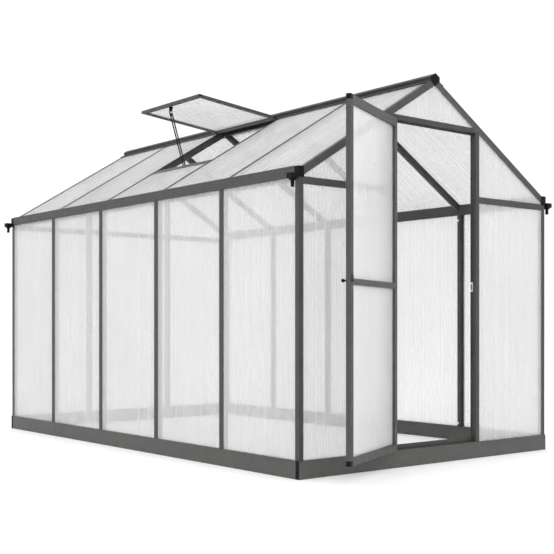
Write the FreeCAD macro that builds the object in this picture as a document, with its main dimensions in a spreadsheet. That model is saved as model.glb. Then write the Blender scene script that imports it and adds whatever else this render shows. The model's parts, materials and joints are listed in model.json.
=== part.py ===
"""Walk-in greenhouse: aluminium frame on a steel base, twin-wall panes, one hinged door, one roof vent.

Frame of the model: +X across the gables, +Y from the door gable to the back gable, +Z up.
The origin is on the ground, in the middle of the base.
Every sub-part is a PartDesign body; its sketches and lengths are bound to the two sheets below.
"""
import FreeCAD, Part
import math
import os
import re
import Sketcher

# ---------------------------------------------------------------- driving dimensions (mm, degrees)
SIZES = {
    # overall
    "house_width": 1820, "house_length": 3020, "eave_height": 1408.5, "roof_pitch": 31.3,
    "bay_count": 5,
    # base
    "base_height": 85, "base_depth": 24, "base_wall": 1.5, "wall_inset": 4, "end_cap": 2,
    "plug_length": 10, "plug_play": 0.2, "anchor_plate": 40, "anchor_sheet": 3,
    "anchor_flange": 60, "anchor_radius": 4.5,
    # aluminium sections
    "metal": 2, "post_face": 27, "post_neck": 14, "bar_face": 32, "bar_neck": 6, "inner_flange": 28,
    "bar_tube": 16, "bar_depth": 38, "roof_cap": 16, "roof_neck": 5, "roof_bar_depth": 40,
    "rafter_face": 35, "rafter_depth": 27, "rafter_tube": 27, "beam_face": 34, "beam_drop": 30.5,
    "beam_groove": 10, "beam_shoulder": 7,
    # glazing
    "pane": 4, "pane_play": 0.3, "edge_play": 1,
    # ridge
    "ridge_half": 30, "ridge_raise": 20, "ridge_flange": 58.5, "ridge_box": 10, "ridge_box_height": 43,
    "ridge_cap_wall": 1.2, "ridge_gap": 0.2,
    # gutter and its black end pieces
    "gutter_bottom_drop": 34.5, "gutter_rise": 18.5, "gutter_width": 46, "gutter_sill": 14,
    "gutter_hang": 11, "gutter_pane_lap": 12, "pane_overhang": 16,
    "end_length": 31, "end_inner": 31, "end_proud": 1, "end_height": 50, "end_wall": 3,
    "head_near": 8, "head_far": 48, "head_half": 19, "head_wall": 2.5, "head_drop": 10,
    "head_rise": 14, "spout_radius": 8.75, "spout_bore": 6.75, "spout_drop": 38, "funnel_width": 32,
    "funnel_height": 8, "neck_half": 6,
    # doorway
    "door_width": 632, "jamb_face": 28, "jamb_depth": 37, "jamb_groove": 10, "head_below_roof": 38.201,
    "head_face": 25, "head_depth": 27, "threshold_rise": 26, "stop_height": 10,
    # door leaf
    "leaf_gap": 3, "leaf_top_gap": 6, "leaf_setback": 1, "leaf_depth": 22, "stop_gap": 1,
    "stile_face": 35, "top_rail": 40, "middle_rail": 28, "middle_rail_low": 877, "bottom_rail": 35,
    "leaf_groove": 10, "leaf_pane_back": 6, "stile_cap_face": 24, "stile_cap_height": 24,
    "stile_cap_proud": 1, "door_open": 154.4,
    # door hinges
    "hinge_count": 3, "hinge_length": 60, "hinge_first": 165, "knuckle_radius": 5, "pin_radius": 2.5,
    "pin_play": 0.06, "knuckle_share": 18, "knuckle_gap": 0.3, "hinge_plate": 24, "hinge_sheet": 2,
    "pin_head": 1.5, "hinge_ahead": 5,
    # door latch
    "latch_height": 895, "latch_inset": 14, "spindle_radius": 3, "spindle_play": 0.06,
    "knob_radius": 8.5, "knob_thick": 12, "knob_stem": 12, "stem_radius": 4.5, "rose_size": 26,
    "rose_sheet": 1.5, "tongue_reach": 25, "tongue_width": 10, "tongue_thick": 4, "tongue_gap": 3.5,
    "keeper_width": 16, "keeper_height": 50, "keeper_sheet": 1.2, "keeper_slot_width": 7,
    "keeper_slot_low": 8, "keeper_slot_high": 22,
    # roof vent
    "hinge_run": 60, "bead_radius": 3, "bead_lift": 0.4, "bead_play": 0.08, "hook_wall": 2.2,
    "hook_from": 142, "hook_to": 278, "vent_length": 566, "vent_lap": 4, "vent_rail": 25,
    "vent_rail_depth": 15, "vent_clear": 0.5, "vent_groove": 8, "vent_pane_low": 5,
    "vent_open": 37.2, "sill_lap": 21.6, "sill_face": 38, "sill_depth": 26, "sill_tube": 18,
    # vent stay
    "stay_radius": 530, "pivot_drop": 31, "stud_drop": 56, "stay_width": 22, "stay_sheet": 2.5,
    "stay_end": 10, "stay_travel": 424, "stud_radius": 2.5, "stud_play": 0.25, "stay_side": 32,
    "bracket_sheet": 3, "bracket_gap": 0.5, "bracket_base": 26, "bracket_eye": 8, "rivet_head": 5.5,
    "rivet_rise": 1.8, "clamp_radius": 12, "clamp_thick": 10, "clamp_flats": 1.5,
}

# ---------------------------------------------------------------- places worked out from them
LAYOUT = {
    "half_width": "house_width / 2",
    "half_length": "house_length / 2",
    "wall_face": "half_width - wall_inset",
    "gable_face": "half_length - wall_inset",
    "bay": "house_length / bay_count",
    "cos_pitch": "cos(roof_pitch * 1deg)",
    "sin_pitch": "sin(roof_pitch * 1deg)",
    "roof_rise": "tan(roof_pitch * 1deg)",
    "apex_height": "eave_height + wall_face * roof_rise",
    "pane_near": "metal + pane_play",
    "pane_far": "metal + pane_play + pane",
    "lip_depth": "metal + pane + 2 * pane_play",
    "lip_back": "lip_depth + metal",
    "gutter_low": "eave_height - gutter_bottom_drop",
    "gutter_top": "eave_height + gutter_rise",
    "gutter_floor": "gutter_low + gutter_sill",
    "gutter_inner": "half_width - gutter_width",
    "end_inside": "half_width - end_inner",
    "rafter_start": "half_width - end_inner - pane_play",
    "end_start": "half_length - end_length",
    "beam_high": "eave_height - beam_drop",
    "beam_low": "eave_height - beam_drop - beam_face",
    "jamb_inner": "door_width / 2",
    "jamb_outer": "door_width / 2 + jamb_face",
    "head_height_low": "apex_height - (door_width / 2 + jamb_face) * roof_rise - head_below_roof",
    "head_high": "head_height_low + head_face",
    "neck_mark": "gable_face - post_neck",
    "pane_end": "gable_face - post_neck - edge_play",
    "ridge_low": "apex_height - ridge_box_height",
    "crown_high": "apex_height - ridge_box_height - edge_play",
    "crown_half": "(ridge_box_height + edge_play - (rafter_tube + edge_play) / cos_pitch) / roof_rise",
    "leaf_half": "door_width / 2 - leaf_gap",
    "leaf_low": "base_height + leaf_gap",
    "leaf_high": "head_height_low - leaf_top_gap",
    "leaf_front": "gable_face - leaf_setback",
    "leaf_back": "gable_face - leaf_setback - leaf_depth",
    "stop_face": "gable_face - leaf_setback - leaf_depth - stop_gap",
    "door_axis_x": "-(door_width - leaf_gap) / 2",
    "door_axis_y": "-(gable_face + hinge_ahead)",
    "latch_x": "leaf_half - latch_inset",
    "tongue_front": "leaf_back - tongue_gap",
    "keeper_mid": "leaf_back - tongue_gap - tongue_thick / 2",
    "vent_hinge_z": "apex_height - hinge_run * roof_rise + (bead_radius + bead_lift) / cos_pitch",
    "hinge_slope": "hinge_run * cos_pitch + (apex_height - vent_hinge_z) * sin_pitch",
    "vent_floor": "vent_clear - bead_radius - bead_lift",
    "vent_roof": "vent_floor + vent_rail_depth",
    "vent_half": "bay / 2 + vent_lap",
    "hook_half": "bay / 2 - roof_cap / 2 - vent_lap",
    "sill_inner": "(hinge_slope + vent_length - sill_lap) * cos_pitch",
    "sill_outer": "(hinge_slope + vent_length - sill_lap + sill_face) * cos_pitch",
    "sill_half": "bay / 2 - inner_flange / 2",
    "pivot_angle": "asin(pivot_drop / stay_radius) / 1deg",
    "stud_angle": "asin(stud_drop / stay_radius) / 1deg",
    "pivot_turn": "180 + roof_pitch + pivot_angle - vent_open",
    "stud_turn": "180 + roof_pitch + stud_angle",
    "pivot_x": "-hinge_run + stay_radius * cos(pivot_turn * 1deg)",
    "pivot_z": "vent_hinge_z + stay_radius * sin(pivot_turn * 1deg)",
    "stud_x": "-hinge_run + stay_radius * cos(stud_turn * 1deg)",
    "stud_z": "vent_hinge_z + stay_radius * sin(stud_turn * 1deg)",
    "stay_tilt": "-90 - (pivot_turn + stud_turn) / 2",
    "slot_start": "2 * stay_radius * sin((stud_angle - pivot_angle) * 0.5deg)",
    "stay_far": "stay_side + stay_sheet",
    "head_middle": "half_width + (head_near + head_far) / 2",
    "head_line": "neck_mark + neck_half + edge_play / 2",
}

FUNCTIONS = ("sin", "cos", "tan", "asin", "deg", "vector", "rotation", "placement")

doc = FreeCAD.newDocument("greenhouse")
sheet = doc.addObject("Spreadsheet::Sheet", "sizes")
layout = doc.addObject("Spreadsheet::Sheet", "layout")


def bind(text):
    """Point every sheet word in an expression at its sheet."""
    def prefix(match):
        word = match.group()
        if word in SIZES:
            return "sizes." + word
        if word in LAYOUT:
            return "layout." + word
        if word not in FUNCTIONS:
            raise KeyError(word)
        return word
    return re.sub(r"[a-z][a-z_]*[a-z]", prefix, text)


for row, (word, value) in enumerate(SIZES.items(), start=1):
    sheet.set(f"A{row}", word)
    sheet.set(f"B{row}", str(value))
    sheet.setAlias(f"B{row}", word)
doc.recompute()
for row, (word, formula) in enumerate(LAYOUT.items(), start=1):
    layout.set(f"A{row}", word)
    layout.set(f"B{row}", "=" + bind(formula))
    layout.setAlias(f"B{row}", word)
    doc.recompute()

BAYS = int(sheet.get("bay_count"))
HINGES = int(sheet.get("hinge_count"))
LEFT, RIGHT = "-1", "1"
FRONT, BACK = "-1", "1"

# ---------------------------------------------------------------- drawing helpers
NODES = []


def new_body(name):
    """An empty body whose label is the node's and the file's name."""
    body = doc.addObject("PartDesign::Body", name)
    body.Label = name
    body.AllowCompound = True
    NODES.append(body)
    return body


def origin_plane(body, role):
    return next(item for item in body.Origin.OriginFeatures if item.Role == role)


def draw_outline(sketch, points):
    """A closed outline whose corners are all held by expressions."""
    first = sketch.GeometryCount
    count = len(points)
    ring = [FreeCAD.Vector(math.cos(2 * math.pi * i / count), math.sin(2 * math.pi * i / count), 0)
            for i in range(count)]
    for i in range(count):
        sketch.addGeometry(Part.LineSegment(ring[i], ring[(i + 1) % count]))
    for i in range(count):
        after = first + (i + 1) % count
        sketch.addConstraint(Sketcher.Constraint("Coincident", first + i, 2, after, 1))
    for i, (across, up) in enumerate(points):
        hold(sketch, "DistanceX", first + i, 1, ring[i].x, across)
        hold(sketch, "DistanceY", first + i, 1, ring[i].y, up)


def draw_circle(sketch, across, up, radius):
    index = sketch.GeometryCount
    normal = FreeCAD.Vector(0, 0, 1)
    sketch.addGeometry(Part.Circle(FreeCAD.Vector(1, 1, 0), normal, 1))
    hold(sketch, "DistanceX", index, 3, 1, across)
    hold(sketch, "DistanceY", index, 3, 1, up)
    size = sketch.addConstraint(Sketcher.Constraint("Radius", index, 1))
    sketch.setExpression(f"Constraints[{size}]", bind(radius))


def hold(sketch, kind, index, point, value, expression):
    """Tie one coordinate of a sketch point, measured from the sketch's origin, to an expression."""
    number = sketch.addConstraint(Sketcher.Constraint(kind, -1, 1, index, point, value))
    sketch.setExpression(f"Constraints[{number}]", bind(expression))


def extrude(body, name, plane, low, high, outlines=(), circles=(), cut=False, may_miss=False):
    """Add or cut a prism between two places along a plane's axis.

    plane is XY, XZ or YZ; low and high are places along +Z, +Y or +X.
    The XZ plane's own normal points along -Y, so its offset is negated.
    A cut has to bite unless may_miss is set.
    """
    sketch = body.newObject("Sketcher::SketchObject", f"{body.Name}_{name}_sketch")
    sketch.AttachmentSupport = [(origin_plane(body, plane + "_Plane"), "")]
    sketch.MapMode = "FlatFace"
    backwards = plane == "XZ"
    start = high if backwards != cut else low
    sketch.setExpression("AttachmentOffset.Base.z", bind(f"-({start})" if backwards else start))
    for points in outlines:
        draw_outline(sketch, points)
    for across, up, radius in circles:
        draw_circle(sketch, across, up, radius)
    kind = "PartDesign::Pocket" if cut else "PartDesign::Pad"
    feature = body.newObject(kind, f"{body.Name}_{name}")
    feature.Profile = sketch
    feature.setExpression("Length", bind(f"({high}) - ({low})"))
    if cut and not may_miss:
        doc.recompute()
        before = feature.BaseFeature.Shape.Volume if feature.BaseFeature else 0
        if feature.Shape.isNull() or feature.Shape.Volume >= before - 1e-6:
            raise RuntimeError(f"{feature.Name} cuts nothing")
    return feature


def rectangle(low_across, high_across, low_up, high_up):
    return [(low_across, low_up), (high_across, low_up), (high_across, high_up), (low_across, high_up)]


def mirrored(side, points):
    """Outline given for the positive side, moved to the side whose sign is given."""
    return [(f"{side} * ({across})", up) for across, up in points]


def ends(side, near, far):
    """Low and high place of a stretch from near to far on one side of the middle."""
    if side == "-1":
        return f"-({far})", f"-({near})"
    return near, far


def roof_z(across, depth="0"):
    """Height at a distance from the middle, a depth square to the slope below the roof's outer face."""
    return f"(apex_height - ({across}) * roof_rise - ({depth}) / cos_pitch)"


def slope_outline(side, low_end, high_end, top, bottom):
    """Strip along one roof slope with upright ends, between two depths below its outer face."""
    points = [(low_end, roof_z(low_end, top)), (high_end, roof_z(high_end, top)),
              (high_end, roof_z(high_end, bottom)), (low_end, roof_z(low_end, bottom))]
    return mirrored(side, points)


def slope_strip(body, name, side, low_end, high_end, top, bottom, low, high):
    return extrude(body, name, "XZ", low, high, [slope_outline(side, low_end, high_end, top, bottom)])


def place(body, text):
    body.setExpression("Placement", bind(text))


def bar_places():
    """Distances of the inner bars from the middle, along the house."""
    return [f"(-half_length + {i} * bay)" for i in range(1, BAYS)]


# ---------------------------------------------------------------- base
def make_base_end_rail(name, end):
    """Steel tube across one gable; its two open ends take the plastic caps."""
    body = new_body(name)
    low, high = ends(end, "half_length - base_depth", "half_length")
    outer = rectangle(low, high, "0", "base_height")
    inner = rectangle(f"{low} + base_wall", f"{high} - base_wall", "base_wall", "base_height - base_wall")
    extrude(body, "tube", "YZ", "-(half_width - end_cap)", "half_width - end_cap", [outer, inner])


def make_base_side_rails():
    """Steel tubes along the two sides, between the end rails."""
    body = new_body("base_rails_side")
    for tag, side in (("left", LEFT), ("right", RIGHT)):
        low, high = ends(side, "half_width - base_depth", "half_width")
        outer = rectangle(low, high, "0", "base_height")
        inner = rectangle(f"{low} + base_wall", f"{high} - base_wall",
                          "base_wall", "base_height - base_wall")
        length = "half_length - base_depth"
        extrude(body, tag, "XZ", f"-({length})", length, [outer, inner])


def make_base_end_caps():
    """Black plugs in the open ends of the two end rails."""
    body = new_body("base_end_caps")
    for end in (FRONT, BACK):
        low, high = ends(end, "half_length - base_depth", "half_length")
        plate = rectangle(low, high, "0", "base_height")
        edge = "(base_wall + plug_play)"
        plug = rectangle(f"{low} + {edge}", f"{high} - {edge}", edge, f"base_height - {edge}")
        for side in (LEFT, RIGHT):
            tag = f"{'front' if end == FRONT else 'back'}_{'left' if side == LEFT else 'right'}"
            near, far = ends(side, "half_width - end_cap", "half_width")
            extrude(body, tag + "_plate", "YZ", near, far, [plate])
            near, far = ends(side, "half_width - end_cap - plug_length", "half_width - end_cap")
            extrude(body, tag + "_plug", "YZ", near, far, [plug])


def make_base_brackets():
    """Corner brackets inside the base, each with a hole for a ground anchor."""
    body = new_body("base_brackets")
    for end in (FRONT, BACK):
        near_y, far_y = ends(end, "half_length - base_depth - anchor_plate", "half_length - base_depth")
        for side in (LEFT, RIGHT):
            tag = f"{'front' if end == FRONT else 'back'}_{'left' if side == LEFT else 'right'}"
            low, high = ends(side, "half_width - base_depth - anchor_plate", "half_width - base_depth")
            hole = (f"{side} * (half_width - base_depth - anchor_plate / 2)",
                    f"{end} * (half_length - base_depth - anchor_plate / 2)", "anchor_radius")
            foot = rectangle(low, high, near_y, far_y)
            extrude(body, tag + "_foot", "XY", "0", "anchor_sheet", [foot], [hole])
            low, high = ends(side, "half_width - base_depth - anchor_sheet", "half_width - base_depth")
            upright = rectangle(low, high, near_y, far_y)
            extrude(body, tag + "_flange", "XY", "anchor_sheet", "anchor_flange", [upright])


# ---------------------------------------------------------------- walls
def make_corner_post(name, side, end):
    """Hollow corner post with a pane groove facing along each wall."""
    body = new_body(name)
    steps = [("0", "0"), ("post_face", "0"), ("post_face", "metal"), ("post_neck", "metal"),
             ("post_neck", "lip_depth"), ("post_face", "lip_depth"), ("post_face", "post_face"),
             ("lip_depth", "post_face"), ("lip_depth", "post_neck"), ("metal", "post_neck"),
             ("metal", "post_face"), ("0", "post_face")]
    outer = [(f"{side} * (wall_face - {a})", f"{end} * (gable_face - {b})") for a, b in steps]
    near, far = "lip_back", "post_face - metal"
    core = [(near, near), (far, near), (far, far), (near, far)]
    inner = [(f"{side} * (wall_face - ({a}))", f"{end} * (gable_face - ({b}))") for a, b in core]
    extrude(body, "section", "XY", "base_height", "gutter_low", [outer, inner])


def make_wall_bars(name, side):
    """Upright glazing bars between the side panes."""
    body = new_body(name)
    half = [("0", "bar_face / 2"), ("metal", "bar_face / 2"), ("metal", "bar_neck / 2"),
            ("lip_depth", "bar_neck / 2"), ("lip_depth", "inner_flange / 2"),
            ("lip_back", "inner_flange / 2"), ("lip_back", "bar_tube / 2"), ("bar_depth", "bar_tube / 2")]
    for number, middle in enumerate(bar_places(), start=1):
        steps = half + [(a, f"-{b}") for a, b in reversed(half)]
        outer = [(f"{side} * (wall_face - {a})", f"{middle} + ({b})") for a, b in steps]
        wall = "(bar_tube / 2 - metal)"
        hollow = [(f"{side} * (wall_face - ({a}))", f"{middle} + {b}") for a, b in
                  (("lip_back + metal", wall), ("bar_depth - metal", wall),
                   ("bar_depth - metal", "-" + wall), ("lip_back + metal", "-" + wall))]
        extrude(body, f"bar_{number}", "XY", "base_height", "gutter_low", [outer, hollow])


def make_gutter(name, side):
    """Eave beam: gutter outside, pane slot below it, wall inside that carries the roof panes."""
    body = new_body(name)
    lip = "wall_face - lip_depth"
    inside = "(gutter_inner + metal)"
    points = [("half_width", "gutter_low"), ("wall_face - metal", "gutter_low"),
              ("wall_face - metal", "gutter_floor"), (lip, "gutter_floor"), (lip, "gutter_low"),
              (f"{lip} - metal", "gutter_low"), (f"{lip} - metal", "gutter_floor"),
              (inside, "gutter_floor"), (inside, "gutter_low - gutter_hang"),
              ("gutter_inner", "gutter_low - gutter_hang"),
              ("gutter_inner", roof_z("gutter_inner", "lip_depth")),
              (inside, roof_z(inside, "lip_depth")), (inside, "gutter_floor + metal"),
              ("half_width - metal", "gutter_floor + metal"), ("half_width - metal", "gutter_top"),
              ("half_width", "gutter_top")]
    extrude(body, "section", "XZ", "-end_start", "end_start", [mirrored(side, points)])


def make_gutter_ends():
    """Plastic corner pieces: each closes a gutter's end and drops its water through a spout."""
    body = new_body("gutter_ends")
    outside = "(half_width + end_proud)"
    for end in (FRONT, BACK):
        for side in (LEFT, RIGHT):
            tag = f"{'front' if end == FRONT else 'back'}_{'left' if side == LEFT else 'right'}"
            add_gutter_end(body, tag, side, end, outside)
    return body


def add_gutter_end(body, tag, side, end, outside):
    floor = "gutter_low + end_wall"
    low, high = ends(end, "end_start", "half_length + end_proud")
    near, far = ends(side, "end_inside", outside)
    extrude(body, tag + "_block", "XY", "gutter_low", "gutter_low + end_height",
            [rectangle(near, far, low, high)])
    near, far = ends(side, outside, "half_width + head_far")
    middle = f"{end} * head_line"
    low, high = f"({middle} - neck_half - head_wall)", f"({middle} + neck_half + head_wall)"
    extrude(body, tag + "_neck", "XY", "gutter_low - head_drop", "gutter_low + head_rise",
            [rectangle(near, far, low, high)])
    near, far = ends(side, "half_width + head_near", "half_width + head_far")
    low, high = f"({middle} - head_half)", f"({middle} + head_half)"
    extrude(body, tag + "_head", "XY", "gutter_low - head_drop", "gutter_low + head_rise",
            [rectangle(near, far, low, high)])
    centre = f"{side} * head_middle"
    half = "funnel_width / 2"
    extrude(body, tag + "_funnel", "XY", "gutter_low - head_drop - funnel_height", "gutter_low - head_drop",
            [], [(centre, middle, half)])
    extrude(body, tag + "_pipe", "XY", "gutter_low - head_drop - spout_drop", "gutter_low - head_drop",
            [], [(centre, middle, "spout_radius")])
    # trough level with the gutter, seat of the wall pane, and a clear way for the roof pane
    low, high = ends(end, "end_start", "half_length - end_wall")
    near, far = ends(side, "end_inside + end_wall", "half_width - metal")
    extrude(body, tag + "_trough", "XY", "gutter_floor + metal", "gutter_low + end_height",
            [rectangle(near, far, low, high)], cut=True)
    low, high = ends(end, "end_start", "neck_mark")
    near, far = ends(side, "wall_face - lip_depth", "wall_face - metal")
    extrude(body, tag + "_pane_seat", "XY", "gutter_low", "gutter_low + gutter_pane_lap + edge_play",
            [rectangle(near, far, low, high)], cut=True)
    near, far = "(end_inside - edge_play)", "(wall_face - pane_overhang + edge_play)"
    above = [(near, roof_z(near, "lip_depth")), (far, roof_z(far, "lip_depth")),
             (far, "gutter_low + end_height + metal"), (near, "gutter_low + end_height + metal")]
    extrude(body, tag + "_pane_way", "XZ", low, high, [mirrored(side, above)], cut=True, may_miss=True)
    # sump at the end, the channel through the side wall, the open hopper and the bore
    low, high = ends(end, "neck_mark", "half_length - end_wall")
    near, far = ends(side, "end_inside + end_wall", "half_width - metal")
    extrude(body, tag + "_sump", "XY", floor, "gutter_floor + metal",
            [rectangle(near, far, low, high)], cut=True)
    near, far = ends(side, "half_width - metal", "half_width + head_near + head_wall")
    low, high = f"({middle} - neck_half)", f"({middle} + neck_half)"
    extrude(body, tag + "_channel", "XY", floor, "gutter_low + head_rise",
            [rectangle(near, far, low, high)], cut=True)
    near, far = ends(side, "half_width + head_near + head_wall", "half_width + head_far - head_wall")
    low, high = f"({middle} - head_half + head_wall)", f"({middle} + head_half - head_wall)"
    extrude(body, tag + "_hopper", "XY", "gutter_low - head_drop + head_wall", "gutter_low + head_rise",
            [rectangle(near, far, low, high)], cut=True)
    extrude(body, tag + "_bore", "XY", "gutter_low - head_drop - spout_drop",
            "gutter_low - head_drop + head_wall", [], [(centre, middle, "spout_bore")], cut=True)


# ---------------------------------------------------------------- gable members
def cross_beam_outline(end):
    """Beam across a gable: pane grooves above and below, hollow tube behind."""
    top = [("0", "beam_face / 2"), ("metal", "beam_face / 2"),
           ("metal", "beam_face / 2 - beam_groove"), ("lip_depth", "beam_face / 2 - beam_groove"),
           ("lip_depth", "beam_face / 2"), ("lip_back", "beam_face / 2"),
           ("lip_back", "beam_face / 2 - beam_shoulder"), ("rafter_depth", "beam_face / 2 - beam_shoulder")]
    middle = "(beam_high - beam_face / 2)"
    steps = top + [(a, f"-({b})") for a, b in reversed(top)]
    outer = [(f"{end} * (gable_face - {a})", f"{middle} + ({b})") for a, b in steps]
    rise = "(beam_face / 2 - beam_shoulder - metal)"
    inner = [(f"{end} * (gable_face - ({a}))", f"{middle} + {b}") for a, b in
             (("lip_back + metal", rise), ("rafter_depth - metal", rise),
              ("rafter_depth - metal", "-" + rise), ("lip_back + metal", "-" + rise))]
    return [outer, inner]


def make_cross_beams(name, end, stretches):
    """Beams across a gable; the outer ones give way to a rafter deep enough to reach them."""
    body = new_body(name)
    near, far = "(wall_face - 2 * post_face)", "(wall_face - post_face + metal)"
    above = [(near, roof_z(near, "rafter_face")), (far, roof_z(far, "rafter_face")),
             (far, "eave_height"), (near, "eave_height")]
    for tag, low, high in stretches:
        extrude(body, tag, "YZ", low, high, cross_beam_outline(end))
        side = {"left": LEFT, "right": RIGHT}.get(tag)
        if side:
            low, high = ends(end, "gable_face - rafter_depth - metal", "gable_face + metal")
            extrude(body, tag + "_trim", "XZ", low, high, [mirrored(side, above)], cut=True, may_miss=True)


def trim_under_rafter(body, tag, side, end):
    """Cut an upright's top along the underside of the rafter."""
    far = "(jamb_outer + metal)"
    near = "(jamb_inner - metal)"
    points = [(near, roof_z(near, "rafter_face")), (far, roof_z(far, "rafter_face")),
              (far, "apex_height"), (near, "apex_height")]
    low, high = ends(end, "gable_face - jamb_depth - metal", "gable_face + metal")
    extrude(body, tag + "_top_cut", "XZ", low, high, [mirrored(side, points)], cut=True)


def make_jamb(name, side):
    """Hollow door jamb with a pane groove on its outer side."""
    body = new_body(name)
    groove = "jamb_outer - jamb_groove"
    steps = [("jamb_outer", "0"), ("jamb_inner", "0"), ("jamb_inner", "jamb_depth"),
             ("jamb_outer", "jamb_depth"), ("jamb_outer", "lip_depth"), (groove, "lip_depth"),
             (groove, "metal"), ("jamb_outer", "metal")]
    outer = [(f"{side} * ({a})", f"-(gable_face - {b})") for a, b in steps]
    core = [("jamb_inner + metal", "lip_back"), ("jamb_outer - metal", "lip_back"),
            ("jamb_outer - metal", "jamb_depth - metal"), ("jamb_inner + metal", "jamb_depth - metal")]
    inner = [(f"{side} * ({a})", f"-(gable_face - ({b}))") for a, b in core]
    extrude(body, "section", "XY", "base_height", "head_high", [outer, inner])
    trim_under_rafter(body, "jamb", side, FRONT)
    if side == RIGHT:
        slot = rectangle("-keeper_mid - keeper_slot_width / 2", "-keeper_mid + keeper_slot_width / 2",
                         "latch_height - keeper_slot_low", "latch_height + keeper_slot_high")
        extrude(body, "latch_slot", "YZ", "jamb_inner", "jamb_inner + metal", [slot], cut=True)


def add_back_stud(body, tag, side):
    """Upright in the back gable with a pane groove on both sides."""
    middle = "(jamb_inner + jamb_face / 2)"
    half = [("jamb_face / 2", "0"), ("jamb_face / 2", "metal"), ("metal", "metal"), ("metal", "lip_depth"),
            ("jamb_face / 2", "lip_depth"), ("jamb_face / 2", "jamb_depth")]
    steps = [(f"{middle} + {a}", b) for a, b in half]
    steps += [(f"{middle} - {a}", b) for a, b in reversed(half)]
    outer = [(f"{side} * ({a})", f"gable_face - {b}") for a, b in steps]
    wall = "(jamb_face / 2 - metal)"
    core = [(f"{middle} + {wall}", "lip_back"), (f"{middle} - {wall}", "lip_back"),
            (f"{middle} - {wall}", "jamb_depth - metal"), (f"{middle} + {wall}", "jamb_depth - metal")]
    inner = [(f"{side} * ({a})", f"gable_face - ({b})") for a, b in core]
    extrude(body, tag + "_section", "XY", "base_height", "head_high", [outer, inner])
    trim_under_rafter(body, tag, side, BACK)


def make_back_studs():
    body = new_body("back_studs")
    add_back_stud(body, "left", LEFT)
    add_back_stud(body, "right", RIGHT)


def make_door_head():
    """Lintel over the door, with a groove above for the gable pane and a stop below for the leaf."""
    body = new_body("door_head")
    slope_end = "((apex_height - rafter_face / cos_pitch - head_high) / roof_rise)"
    shoulder = roof_z("jamb_inner", "rafter_face")
    face = [("-jamb_inner", "head_height_low"), ("jamb_inner", "head_height_low"), ("jamb_inner", shoulder),
            (slope_end, "head_high"), (f"-{slope_end}", "head_high"), ("-jamb_inner", shoulder)]
    groove = "(head_high - beam_groove)"
    web = rectangle(f"-{slope_end}", slope_end, "head_height_low", groove)
    extrude(body, "face", "XZ", "-gable_face", "-(gable_face - metal)", [face])
    extrude(body, "web", "XZ", "-(gable_face - metal)", "-(gable_face - lip_depth)", [web])
    extrude(body, "inner_face", "XZ", "-(gable_face - lip_depth)", "-(gable_face - lip_back)", [face])
    shelf = rectangle("-jamb_inner", "jamb_inner", "head_height_low", "head_height_low + metal")
    extrude(body, "shelf", "XZ", "-(gable_face - lip_back)", "-(gable_face - head_depth)", [shelf])
    stop = rectangle("-jamb_inner", "jamb_inner", "head_height_low - stop_height", "head_height_low")
    extrude(body, "stop", "XZ", "-stop_face", "-(stop_face - metal)", [stop])


def make_threshold():
    """Angle on the base between the jambs; its upright is the leaf's lower stop."""
    body = new_body("door_threshold")
    foot = rectangle("-jamb_inner", "jamb_inner", "base_height", "base_height + metal")
    extrude(body, "foot", "XZ", "-gable_face", "-(stop_face - metal)", [foot])
    rise = rectangle("-jamb_inner", "jamb_inner", "base_height + metal", "base_height + threshold_rise")
    extrude(body, "upright", "XZ", "-stop_face", "-(stop_face - metal)", [rise])


# ---------------------------------------------------------------- roof
def make_rafter(name, side, end):
    """Gable rafter: hollow, with grooves for the roof panes and for the gable pane."""
    body = new_body(name)
    walls = [("top", "0", "metal", "0", "rafter_depth"),
             ("neck", "0", "lip_back", "post_neck - metal", "post_neck"),
             ("tube_top", "lip_depth", "lip_back", "0", "rafter_depth"),
             ("tube_back", "lip_depth", "rafter_tube", "rafter_depth - metal", "rafter_depth"),
             ("tube_floor", "rafter_tube - metal", "rafter_tube", "0", "rafter_depth"),
             ("face", "0", "rafter_face", "0", "metal"),
             ("inner_lip", "rafter_tube - metal", "rafter_face", "lip_depth", "lip_back")]
    for tag, top, bottom, near, far in walls:
        low, high = ends(end, f"gable_face - ({far})", f"gable_face - ({near})")
        slope_strip(body, tag, side, "rafter_start", "ridge_box + ridge_gap", top, bottom, low, high)


def make_roof_bars(name, side):
    """Glazing bars up one slope: cap, neck and inner flange hold the panes, a tube carries them."""
    body = new_body(name)
    inside = "(gutter_inner - metal / 4)"
    outside = "(wall_face - pane_overhang)"
    walls = [("cap", outside, "0", "metal", "-roof_cap / 2", "roof_cap / 2"),
             ("neck", outside, "metal", "lip_depth", "-roof_neck / 2", "roof_neck / 2"),
             ("flange", inside, "lip_depth", "lip_back", "-inner_flange / 2", "inner_flange / 2"),
             ("near_wall", inside, "lip_back", "roof_bar_depth", "-bar_tube / 2", "-bar_tube / 2 + metal"),
             ("far_wall", inside, "lip_back", "roof_bar_depth", "bar_tube / 2 - metal", "bar_tube / 2"),
             ("floor", inside, "roof_bar_depth - metal", "roof_bar_depth", "-bar_tube / 2", "bar_tube / 2")]
    for number, middle in enumerate(bar_places(), start=1):
        for tag, start, top, bottom, low, high in walls:
            slope_strip(body, f"bar_{number}_{tag}", side, start, "ridge_box + ridge_gap", top, bottom,
                        f"{middle} + ({low})", f"{middle} + ({high})")


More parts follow.
